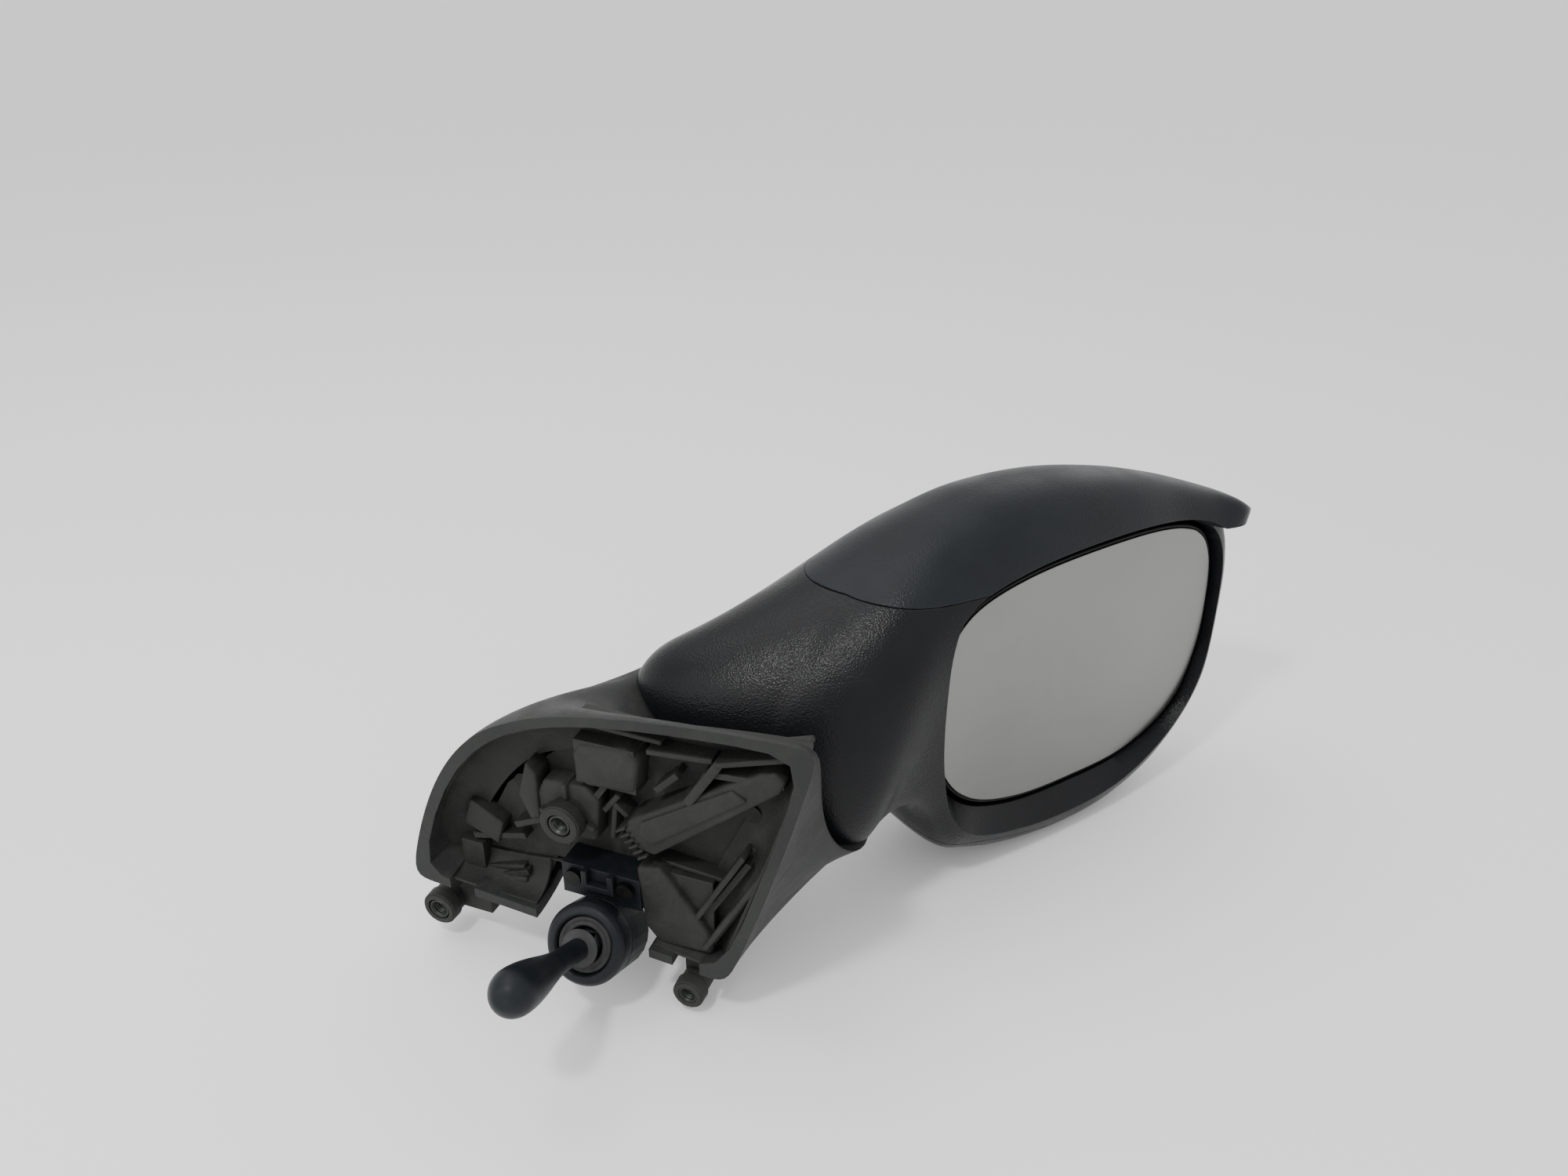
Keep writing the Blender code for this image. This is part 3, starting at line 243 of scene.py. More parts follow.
def base_outline(angle):
    """Point (Y, Z) of the base outline; angle 0 is the front, 90 the top, 180 the rear edge."""
    shoulder, rear_top, rear_bottom, front_bottom = OUTLINE_ANGLES
    turn = (angle - shoulder) % 360.0 + shoulder
    if turn < rear_top:
        point = bezier(TOP_SHOULDER, TOP_BOW, REAR_TOP, (turn - shoulder) / (rear_top - shoulder))
    elif turn < rear_bottom:
        point = bezier(REAR_TOP, REAR_BOW, REAR_BOTTOM, (turn - rear_top) / (rear_bottom - rear_top))
    elif turn < front_bottom:
        share = (turn - rear_bottom) / (front_bottom - rear_bottom)
        point = Vector(REAR_BOTTOM).lerp(Vector(FRONT_BOTTOM), share)
    else:
        share = (turn - front_bottom) / (360.0 + shoulder - front_bottom)
        point = bezier(FRONT_BOTTOM, FRONT_BOW, TOP_SHOULDER, share)
    return point


def soft_outline(angle, spread=2.4):
    """Outline point with the corners eased, as the mean over a few degrees."""
    points = [Vector(base_outline(angle + spread * k / 4)) for k in range(-4, 5)]
    return sum(points, Vector((0.0, 0.0))) / len(points)


def superellipse(angle, power):
    """Point of a unit superellipse; a higher power is squarer."""
    c, s = math.cos(angle), math.sin(angle)
    return (math.copysign(abs(c) ** (2 / power), c), math.copysign(abs(s) ** (2 / power), s))


def oval_point(angle, lift):
    """Point of the parting oval; angle 0 is its front end, 90 its inboard side."""
    c, s = superellipse(math.radians(angle), 2.2)
    level = OVAL_CENTRE + PIVOT_AXIS * lift
    return level + OVAL_LONG * OVAL_HALF_LENGTH * c - OUTBOARD * OVAL_HALF_WIDTH * s


def hermite(a, slope_a, b, slope_b, w):
    """Point at share w of the curve from a to b with those slopes at its ends."""
    return (a * (2 * w ** 3 - 3 * w ** 2 + 1) + slope_a * (w ** 3 - 2 * w ** 2 + w)
            + b * (3 * w ** 2 - 2 * w ** 3) + slope_b * (w ** 3 - w ** 2))


def around(count):
    """Equally spaced angles of one turn, in degrees."""
    return [360.0 * k / count for k in range(count)]


def foot_rings(steps=8, count=COARSE):
    """Rings from the door face out and up to the parting oval."""
    rings = []
    for k in range(steps + 1):
        w = k / steps
        ring = []
        for angle in around(count):
            start = Vector((0.0, *soft_outline(angle)))
            end = oval_point(angle, -PARTING_GAP / 2)
            outwards = (oval_point(angle + 1, 0) - oval_point(angle - 1, 0)).cross(PIVOT_AXIS).normalized()
            level = (start - PIVOT_CENTRE).dot(PIVOT_AXIS)
            above = min(1.0, max(0.0, 1.0 + level / FOOT_BLEND))
            arrive = PIVOT_AXIS * FOOT_RISE * (1 - above) - outwards * FOOT_FLARE * above
            ring.append(hermite(start, OUTBOARD * 1.2 * end.x, end, arrive, w))
        rings.append(ring)
    return rings


def inner_rings(rings, wall, first_wall=None, rounding=0):
    """The same rings moved inwards by the wall; rounding eases their corners."""
    count = len(rings[0])
    moved = []
    for i, ring in enumerate(rings):
        before, after = rings[max(0, i - 1)], rings[min(len(rings) - 1, i + 1)]
        distance = first_wall if first_wall and i == 0 else wall
        middle = sum(ring, Vector()) / count
        row = []
        for j, point in enumerate(ring):
            inwards = (after[j] - before[j]).cross(ring[(j + 1) % count] - ring[j - 1]).normalized()
            way = (inwards + (middle - point).normalized() * CORNER_PULL).normalized()
            row.append(point + way * distance / way.dot(inwards))
        for _ in range(rounding):
            row = [(row[j - 1] + 2 * row[j] + row[(j + 1) % count]) / 4 for j in range(count)]
        moved.append(row)
    return moved


def foot_room(wall, rim):
    """Rings of the space inside the foot, from just in front of the door face to short of the oval."""
    rings = inner_rings(foot_rings()[:-2], wall, rim, rounding=2)
    return [[point - OUTBOARD for point in rings[0]]] + rings


def section_ring(station, count=COARSE):
    """Closed ring of one head station; angle 0 is its front, 90 its top."""
    s, low, high, back, front, middle = station
    t_middle = back + (front - back) * 0.45
    ring = []
    for angle in around(count):
        a = math.radians(angle)
        forward, above = math.cos(a) >= 0, math.sin(a) >= 0
        power = FRONT_POWER if forward else REAR_TOP_POWER if above else REAR_LOW_POWER
        c, sn = superellipse(a, power)
        t = t_middle + c * ((front - t_middle) if forward else (t_middle - back))
        z = middle + sn * ((high - middle) if above else (middle - low))
        ring.append(head_point(s, t, z))
    return ring


def head_rings(stations, neck_steps=9, per_station=2, count=COARSE):
    """Rings from the parting oval up the neck and out along the head."""
    first = section_ring(stations[0], count)
    beyond = section_ring(catmull(stations, 0.2), count)
    rings = []
    for k in range(neck_steps):
        w = k / neck_steps
        ring = []
        for angle, end, after in zip(around(count), first, beyond):
            start = oval_point(angle, PARTING_GAP / 2)
            reach = (end - start).length
            rise = 1.0 + NECK_SHOULDER * max(0.0, math.sin(math.radians(angle)))
            arrive = (after - end).normalized() * reach
            ring.append(hermite(start, PIVOT_AXIS * reach * rise, end, arrive, w))
        rings.append(ring)
    for k in range(per_station * (len(stations) - 1) + 1):
        rings.append(section_ring(catmull(stations, k / per_station), count))
    return rings


def glass_outline(distance=0.0, count=FINE_RIM):
    """Outline of the holder moved outwards by distance."""
    return grown(polar_outline(GLASS, GLASS_MIDDLE, count), GLASS_MIDDLE, distance)


def head_ring(outline, t):
    """Outline laid into the head at depth t behind the glass's face."""
    return [head_point(s, t, z) for s, z in outline]


# ---------------------------------------------------------------- mesh helpers
def shade(mesh, smooth):
    """Smooth shading below that angle; faces with many sides are flat plates and stay flat."""
    mesh.shade_smooth()
    mesh.set_sharp_from_angle(angle=math.radians(smooth))
    for polygon in mesh.polygons:
        if polygon.loop_total > 8:
            polygon.use_smooth = False


def make_object(name, bm, finish, matrix=None, smooth=SMOOTH_ANGLE):
    """Turns a bmesh in millimetres into an object in metres."""
    if matrix is not None:
        bm.transform(matrix)
    if bm.calc_volume(signed=True) < 0:
        bmesh.ops.reverse_faces(bm, faces=bm.faces)
    bm.transform(Matrix.Scale(MM, 4))
    mesh = bpy.data.meshes.new(name)
    bm.to_mesh(mesh)
    bm.free()
    shade(mesh, smooth)
    mesh.materials.append(MATERIALS[finish])
    obj = bpy.data.objects.new(name, mesh)
    bpy.context.scene.collection.objects.link(obj)
    return obj


def loft(name, rings, finish, wrap=False):
    """Closed solid through rings of equal length; with wrap the last ring meets the first."""
    bm = bmesh.new()
    rows = [[bm.verts.new(p) for p in ring] for ring in rings]
    count = len(rings[0])
    pairs = list(zip(rows, rows[1:])) + ([(rows[-1], rows[0])] if wrap else [])
    for low, high in pairs:
        for i in range(count):
            j = (i + 1) % count
            bm.faces.new((low[i], low[j], high[j], high[i]))
    if not wrap:
        bm.faces.new(rows[0][::-1])
        bm.faces.new(rows[-1])
    return make_object(name, bm, finish)


def box(name, centre, size, finish, matrix=None):
    """Block used as a cutting tool."""
    bm = bmesh.new()
    bmesh.ops.create_cube(bm, size=1.0, matrix=Matrix.Translation(centre) @ Matrix.Diagonal((*size, 1)))
    return make_object(name, bm, finish, matrix)


def cylinder(name, start, end, radius, finish, segments=64):
    """Round bar from start to end."""
    bm = bmesh.new()
    bmesh.ops.create_cone(bm, cap_ends=True, segments=segments, radius1=radius, radius2=radius,
                          depth=(end - start).length)
    return make_object(name, bm, finish, frame_at((start + end) / 2, end - start, OUTBOARD + UP / 7))


def turned(name, profile, origin, axis, finish, steps=72, smooth=SMOOTH_ANGLE):
    """Solid of revolution; profile is (radius, height) and is a loop unless it starts on the axis."""
    bm = bmesh.new()
    matrix = frame_at(origin, axis, OUTBOARD + UP / 7)
    loop = profile[0][0] > 0
    rows = []
    for k in range(steps):
        turn = 2 * math.pi * k / steps
        rows.append([bm.verts.new((r * math.cos(turn), r * math.sin(turn), h)) for r, h in profile])
    for k in range(steps):
        here, there = rows[k], rows[(k + 1) % steps]
        for i in range(len(profile) if loop else len(profile) - 1):
            j = (i + 1) % len(profile)
            bm.faces.new((here[i], here[j], there[j], there[i]))
    bmesh.ops.remove_doubles(bm, verts=bm.verts, dist=0.0005)
    bmesh.ops.dissolve_degenerate(bm, edges=bm.edges, dist=0.0005)
    return make_object(name, bm, finish, matrix, smooth)


def rounded(profile, radius, steps=4):
    """Profile points with each corner eased by an arc-like curve of about that radius."""
    eased = []
    n = len(profile)
    for i, point in enumerate(profile):
        here = Vector(point)
        before = Vector(profile[i - 1])
        after = Vector(profile[(i + 1) % n])
        if here.x == 0 or (before - here).length < 1e-6 or (after - here).length < 1e-6:
            eased.append(tuple(here))
            continue
        a = here + (before - here).normalized() * min(radius, (before - here).length * 0.45)
        b = here + (after - here).normalized() * min(radius, (after - here).length * 0.45)
        for k in range(steps + 1):
            w = k / steps
            eased.append(tuple(a * (1 - w) ** 2 + here * 2 * w * (1 - w) + b * w ** 2))
    return eased


def settle(obj):
    """Applies the modifiers and sets the shading."""
    bpy.context.view_layer.update()
    graph = bpy.context.evaluated_depsgraph_get()
    mesh = bpy.data.meshes.new_from_object(obj.evaluated_get(graph))
    obj.modifiers.clear()
    obj.data = mesh
    shade(mesh, SMOOTH_ANGLE)
    return obj


def boolean(target, tools, operation):
    """Applies the tools to target and removes them."""
    for tool in tools:
        modifier = target.modifiers.new(tool.name, "BOOLEAN")
        modifier.operation = operation
        modifier.solver = "MANIFOLD"
        modifier.object = tool
    settle(target)
    for tool in tools:
        bpy.data.objects.remove(tool, do_unlink=True)
    return target


def cut(target, *tools):
    return boolean(target, tools, "DIFFERENCE")


def join(target, *tools):
    return boolean(target, tools, "UNION")


def keep(target, *tools):
    return boolean(target, tools, "INTERSECT")


def bevel(obj, width, segments=3, angle=30.0):
    """Eases the edges sharper than angle."""
    modifier = obj.modifiers.new("Bevel", "BEVEL")
    modifier.width = width * MM
    modifier.segments = segments
    modifier.limit_method = "ANGLE"
    modifier.angle_limit = math.radians(angle)
    return settle(obj)


# ---------------------------------------------------------------- materials
class Nodes:
    """Short forms for building a material's nodes."""

    def __init__(self, name):
        self.material = bpy.data.materials.new(name)
        self.material.use_nodes = True
        self.tree = self.material.node_tree
        self.shader = self.tree.nodes["Principled BSDF"]
        self.place = self.add("ShaderNodeTexCoord").outputs["Object"]

    def add(self, kind, **values):
        node = self.tree.nodes.new(kind)
        for key, value in values.items():
            setattr(node, key, value)
        return node

    def link(self, output, socket):
        self.tree.links.new(output, socket)

    def mapped(self, scale, rotation=(0, 0, 0)):
        node = self.add("ShaderNodeMapping")
        node.inputs["Scale"].default_value = scale
        node.inputs["Rotation"].default_value = rotation
        self.link(self.place, node.inputs["Vector"])
        return node.outputs["Vector"]

    def noise(self, scale, detail=3.0, rough=0.5, vector=None, distortion=0.0):
        node = self.add("ShaderNodeTexNoise")
        node.inputs["Scale"].default_value = scale
        node.inputs["Detail"].default_value = detail
        node.inputs["Roughness"].default_value = rough
        node.inputs["Distortion"].default_value = distortion
        self.link(vector or self.place, node.inputs["Vector"])
        return node.outputs["Fac"]

    def ramp(self, value, low, high, start=0.0, end=1.0):
        node = self.add("ShaderNodeMapRange", clamp=True)
        for key, number in (("From Min", low), ("From Max", high), ("To Min", start), ("To Max", end)):
            node.inputs[key].default_value = number
        self.link(value, node.inputs["Value"])
        return node.outputs["Result"]

    def maths(self, operation, a, b):
        node = self.add("ShaderNodeMath", operation=operation)
        for socket, value in zip(node.inputs, (a, b)):
            if isinstance(value, (int, float)):
                socket.default_value = value
            else:
                self.link(value, socket)
        return node.outputs["Value"]

    def mix(self, factor, a, b):
        node = self.add("ShaderNodeMix", data_type="RGBA")
        self.link(factor, node.inputs["Factor"])
        for socket, value in ((node.inputs["A"], a), (node.inputs["B"], b)):
            if isinstance(value, tuple):
                socket.default_value = (*value, 1.0)
            else:
                self.link(value, socket)
        return node.outputs["Result"]

    def bump(self, height, strength, distance, normal=None):
        node = self.add("ShaderNodeBump")
        node.inputs["Strength"].default_value = strength
        node.inputs["Distance"].default_value = distance
        self.link(height, node.inputs["Height"])
        if normal:
            self.link(normal, node.inputs["Normal"])
        return node.outputs["Normal"]


def plastic(name, colour, roughness, grain=0.35, grain_scale=1500.0, dust=0.25, scratches=0.3, edge=0.6,
            gloss=0.16, round_edges=0.0006):
    """Moulded black plastic: fine grain, dust in patches, thin scratches and paler sharp edges in broken
    patches.
    """
    n = Nodes(name)
    shader = n.shader
    shader.inputs["Specular IOR Level"].default_value = gloss
    pale = tuple(min(1.0, c * 2.2 + 0.024) for c in colour)
    dusty = tuple(c * 1.4 + k for c, k in zip(colour, (0.022, 0.0215, 0.0185)))
    cloud = n.noise(22.0, 5.0, 0.62)
    patch = n.ramp(n.noise(70.0, 6.0, 0.65, distortion=0.4), 0.45, 0.72)
    tone = n.mix(n.ramp(cloud, 0.35, 0.7), colour, tuple(c * 1.45 for c in colour))
    tone = n.mix(n.maths("MULTIPLY", patch, dust), tone, dusty)
    specks = n.ramp(n.noise(900.0, 2.0, 0.6), 0.70, 0.80)
    tone = n.mix(n.maths("MULTIPLY", specks, dust * 0.9), tone, dusty)
    fine = n.noise(5.0, 2.0, 0.6, vector=n.mapped((30, 420, 90), (0.4, 0.3, 0.9)), distortion=0.3)
    across = n.noise(5.0, 2.0, 0.6, vector=n.mapped((380, 25, 70), (0.2, 0.9, 0.3)), distortion=0.3)
    lines = n.maths("MAXIMUM", n.ramp(fine, 0.735, 0.77), n.ramp(across, 0.745, 0.78))
    lines = n.maths("MULTIPLY", lines, n.ramp(cloud, 0.45, 0.65))
    tone = n.mix(n.maths("MULTIPLY", lines, scratches), tone, pale)
    soft = n.add("ShaderNodeBevel", samples=4)
    soft.inputs["Radius"].default_value = round_edges
    true = n.add("ShaderNodeNewGeometry")
    facing = n.add("ShaderNodeVectorMath", operation="DOT_PRODUCT")
    n.link(soft.outputs["Normal"], facing.inputs[0])
    n.link(true.outputs["Normal"], facing.inputs[1])
    # Sharp edges, found where the bevel normal turns away from the true normal, are mixed towards the pale
    # tone in broken patches.
    pale_edge = n.ramp(facing.outputs["Value"], 0.985, 0.86, 0.0, edge)
    pale_edge = n.maths("MULTIPLY", pale_edge, n.ramp(n.noise(160.0, 3.0), 0.35, 0.65))
    tone = n.mix(pale_edge, tone, pale)
    n.link(tone, shader.inputs["Base Color"])
    rough = n.ramp(n.noise(45.0, 4.0, 0.6), 0.3, 0.7, roughness - 0.06, roughness + 0.08)
    rough = n.maths("ADD", rough, n.maths("MULTIPLY", patch, dust * 0.5))
    n.link(rough, shader.inputs["Roughness"])
    cells = n.add("ShaderNodeTexVoronoi", feature="F1")
    cells.inputs["Scale"].default_value = grain_scale
    n.link(n.place, cells.inputs["Vector"])
    height = n.maths("ADD", cells.outputs["Distance"], n.noise(grain_scale * 0.6, 3.0, 0.6))
    height = n.maths("SUBTRACT", height, n.maths("MULTIPLY", lines, 0.8))
    normal = n.bump(height, grain, 0.00012, soft.outputs["Normal"])
    n.link(normal, shader.inputs["Normal"])
    return n.material


def metal(name, colour, roughness, brush=0.25, stain=0.3):
    """Plated or turned metal with fine lines, and dull stains."""
    n = Nodes(name)
    shader = n.shader
    shader.inputs["Metallic"].default_value = 1.0
    stained = n.ramp(n.noise(220.0, 5.0, 0.6), 0.45, 0.7, 0.0, stain)
    n.link(n.mix(stained, colour, tuple(c * 0.35 for c in colour)), shader.inputs["Base Color"])
    rough = n.ramp(n.noise(500.0, 3.0), 0.3, 0.7, roughness - 0.08, roughness + 0.12)
    n.link(rough, shader.inputs["Roughness"])
    lines = n.noise(4.0, 3.0, vector=n.mapped((2500, 400, 400)))
    n.link(n.bump(lines, brush, 0.00005), shader.inputs["Normal"])
    return n.material


def silvered(name):
    """Mirror glass: plain grey silvering with a slow change of tone, faint smudges and dust specks."""
    n = Nodes(name)
    shader = n.shader
    shader.inputs["Metallic"].default_value = 1.0
    slow = n.ramp(n.noise(7.0, 2.0, 0.5), 0.3, 0.7)
    tone = n.mix(slow, (0.185, 0.188, 0.178), (0.225, 0.230, 0.216))
    smudge = n.ramp(n.noise(38.0, 6.0, 0.7, distortion=1.2), 0.52, 0.74, 0.0, 0.22)
    tone = n.mix(smudge, tone, (0.165, 0.165, 0.155))
    specks = n.ramp(n.noise(420.0, 2.0, 0.5), 0.78, 0.82, 0.0, 0.5)
    tone = n.mix(specks, tone, (0.20, 0.20, 0.19))
    n.link(tone, shader.inputs["Base Color"])
    n.link(n.ramp(n.noise(16.0, 3.0, 0.5), 0.3, 0.7, 0.20, 0.26), shader.inputs["Roughness"])
    return n.material


def rubber(name, colour):
    """Dull black rubber or foam with a fine tooth."""
    n = Nodes(name)
    shader = n.shader
    n.link(n.mix(n.ramp(n.noise(90.0, 5.0, 0.6), 0.4, 0.7), colour, tuple(c * 2.2 for c in colour)),
           shader.inputs["Base Color"])
    n.link(n.ramp(n.noise(300.0, 3.0), 0.3, 0.7, 0.68, 0.86), shader.inputs["Roughness"])
    n.link(n.bump(n.noise(1800.0, 3.0), 0.3, 0.0001), shader.inputs["Normal"])
    return n.material


MATERIALS = {
    "cover_plastic": plastic("cover_plastic", (0.0038, 0.0040, 0.0048), 0.30, grain=0.75, dust=0.05,
                             scratches=0.16),
    "cap_plastic": plastic("cap_plastic", (0.0062, 0.0078, 0.0092), 0.36, grain=0.65, dust=0.07,
                           scratches=0.10),
    "bracket_plastic": plastic("bracket_plastic", (0.0150, 0.0158, 0.0145), 0.55, grain=0.5,
                               grain_scale=1100.0, dust=0.55, scratches=0.45, edge=0.5),
    "foot_plastic": plastic("foot_plastic", (0.0150, 0.0162, 0.0152), 0.50, grain=0.5, grain_scale=1200.0,
                            dust=0.40, scratches=0.35, edge=0.45),
    "holder_plastic": plastic("holder_plastic", (0.0050, 0.0050, 0.0055), 0.50, grain=0.25, dust=0.15),
    "lever_plastic": plastic("lever_plastic", (0.0062, 0.0078, 0.0092), 0.40, grain=0.25,
                             grain_scale=1900.0, dust=0.22, scratches=0.12, edge=0.3),
    "seal_rubber": rubber("seal_rubber", (0.010, 0.010, 0.010)),
    "pad_foam": rubber("pad_foam", (0.020, 0.020, 0.020)),
    "mirror_glass": silvered("mirror_glass"),
    "insert_brass": metal("insert_brass", (0.045, 0.048, 0.043), 0.45, stain=0.6),
    "screw_steel": metal("screw_steel", (0.022, 0.022, 0.021), 0.45),
    "pivot_steel": metal("pivot_steel", (0.40, 0.40, 0.39), 0.30),
    "spring_steel": metal("spring_steel", (0.28, 0.27, 0.26), 0.32, brush=0.1),
    "sheath_plastic": plastic("sheath_plastic", (0.0080, 0.0080, 0.0085), 0.45, grain=0.1, dust=0.2,
                              round_edges=0.0002),
}


def finish_frame_nodes():
    """Gives every node of the frame its slot's material."""
    for entry in frame["record"]["subparts"]:
        obj = frame["nodes"][entry["node"]]
        made = MATERIALS[entry["material_slot"]]
        for slot in obj.material_slots:
            slot.material = made


def stands_for(obj, body, slot, *nodes):
    """Lets obj ride on body, in place of the nodes if there are any; slot is not used."""
    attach(obj, body)
    if nodes:
        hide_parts(*nodes)
    return obj


# ---------------------------------------------------------------- base
def seat_block(name, low, high):
    """Block over the parting oval between two distances along the pivot."""
    size = (2 * OVAL_HALF_WIDTH + 6, 2 * OVAL_HALF_LENGTH + 6, high - low)
    return box(name, (0, 0, (low + high) / 2), size, "cover_plastic",
               frame_at(OVAL_CENTRE, PIVOT_AXIS, OUTBOARD))


def softened(ring, passes=4):
    """Ring with each point eased towards its neighbours."""
    for _ in range(passes):
        ring = [(ring[k - 1] + point * 2 + ring[(k + 1) % len(ring)]) / 4 for k, point in enumerate(ring)]
    return ring


def make_base_cover():
    """Foot of the mirror with its hollow, the pivot's bore and the gaps for the lever and the arms."""
    outer = loft("base_cover_skin", [softened(ring) for ring in foot_rings(32, FINE)], "foot_plastic")
    inner = loft("cover_cavity", foot_room(WALL, RIM_WIDTH), "foot_plastic")
    cut(inner, seat_block("cover_seat", -PARTING_GAP / 2 - SEAT_THICKNESS, 10))
    bore = cylinder("cover_bore", pivot_spot(-POST_BELOW - 2), pivot_spot(5), DETENT_RADIUS + CLEARANCE,
                    "foot_plastic")
    notch = box("cover_notch", LEVER_BAY, (47, 44, 60), "foot_plastic")
    swing = cylinder("cover_swing", pivot_spot(-PARTING_GAP / 2), pivot_spot(20),
                     OVAL_HALF_LENGTH - PIVOT_BEHIND + SWING_GAP, "foot_plastic", segments=96)
    arms = [box(name + "_notch", (back / 2, sum(y) / 2, sum(z) / 2),
                (back + 3 * CLEARANCE, y[1] - y[0] + 4 * CLEARANCE, z[1] - z[0]), "foot_plastic")
            for name, y, z, back in ARMS]
    cut(outer, inner, bore, notch, swing, *arms)
    return stands_for(outer, "base", "cover_plastic", "base_cover")


# ---------------------------------------------------------------- head
def make_skin(name, stations, finish, hollow_stations):
    """Head skin with the opening for the glass and its hollow."""
    rim = frame_at(GLASS_EDGE, DEEP, ALONG)
    aperture = polar_outline(APERTURE, GLASS_MIDDLE, FINE_RIM)
    scoop_front = grown(aperture, GLASS_MIDDLE, 4.0)
    window = glass_outline(GLASS_GAP)
    outer = loft(name, head_rings(stations, 36, 8, FINE), finish)
    scoop = loft(name + "_scoop", [head_ring(scoop_front, -30), head_ring(aperture, -9), head_ring(window, 1),
                                   head_ring(window, SCOOP_DEPTH)], finish)
    cavity = loft(name + "_cavity", inner_rings(head_rings(stations[:hollow_stations]), WALL), finish)
    cut(cavity, seat_block(name + "_seat", -10, PARTING_GAP / 2 + SEAT_THICKNESS),
        box(name + "_rim", (100 + RIM_INBOARD, 0, -50 + RIM_DEPTH), (200, 240, 100), finish, rim))
    return cut(outer, scoop, cavity)


def make_head():
    """Casing, top cap and lower trim: one skin each, parted by the planes split and trim."""
    split = frame_at(head_point(0, 0, 55.5), UP + ALONG * 0.06, ALONG)
    trim = frame_at(head_point(0, 0, -50.9), -UP - ALONG * 0.265 + DEEP * 0.357, ALONG)

    def beyond(name, matrix, size, gap=0.0):
        return box(name, (60, 0, 100 + gap), size, "cover_plastic", matrix)
    casing = make_skin("head_casing_skin", CASING_STATIONS, "cover_plastic", HOLLOW_STATIONS)
    bore = cylinder("neck_bore", pivot_spot(-5), pivot_spot(12), DETENT_RADIUS + CLEARANCE, "cover_plastic")
    cut(casing, bore, beyond("above", split, CAP_TOOL), beyond("below", trim, TRIM_TOOL))
    stands_for(casing, "head", "cover_plastic", "head_casing")
    cap_stations = CASING_STATIONS[:5] + CAP_END_STATIONS
    cap = make_skin("top_cap_skin", cap_stations, "cap_plastic", CAP_HOLLOW_STATIONS)
    keep(cap, beyond("cap_half", split, CAP_TOOL, CLEARANCE))
    stands_for(cap, "head", "cap_plastic", "top_cap")
    lower = make_skin("lower_trim_skin", CASING_STATIONS, "cover_plastic", HOLLOW_STATIONS)
    keep(lower, beyond("trim_half", trim, TRIM_TOOL, CLEARANCE))
    stands_for(lower, "head", "cover_plastic", "lower_trim")


def slab(name, distance, t_low, t_high, edge, finish):
    """Plate in the glass's outline with eased edges."""
    rings = [head_ring(glass_outline(distance - edge), t_low), head_ring(glass_outline(distance - 0.3 * edge),
             t_low + 0.3 * edge), head_ring(glass_outline(distance), t_low + edge),
             head_ring(glass_outline(distance), t_high)]
    return loft(name, rings, finish)


def make_glass():
    """Glass and the holder behind it, with the socket of the ball."""
    back = GLASS_THICKNESS
    glass = slab("mirror_glass_plate", -GLASS_INSET, 0.0, back, 0.5, "mirror_glass")
    stands_for(glass, "glass", "mirror_glass", "mirror_glass")
    holder_low = back + 2 * CLEARANCE + PAD_THICKNESS
    holder_high = holder_low + HOLDER_THICKNESS
    holder = slab("glass_holder_frame", 0.0, 0.6, holder_high, 0.4, "holder_plastic")
    seat = glass_outline(CLEARANCE - GLASS_INSET)
    recess = loft("holder_recess", [head_ring(seat, -1), head_ring(seat, holder_low)], "holder_plastic")
    centre = head_point(GLASS_MIDDLE[0], BALL_DEPTH, GLASS_MIDDLE[1])
    cut(holder, recess)
    socket = cylinder("holder_socket", centre - DEEP * (BALL_DEPTH - holder_low - 1), centre - DEEP * 0.8, 12,
                      "holder_plastic")
    join(holder, socket)
    bm = bmesh.new()
    bmesh.ops.create_uvsphere(bm, u_segments=48, v_segments=24, radius=BALL_RADIUS + CLEARANCE)
    hollow = make_object("socket_hollow", bm, "holder_plastic", Matrix.Translation(centre))
    cut(holder, hollow)
    stands_for(holder, "glass", "holder_plastic", "glass_holder")


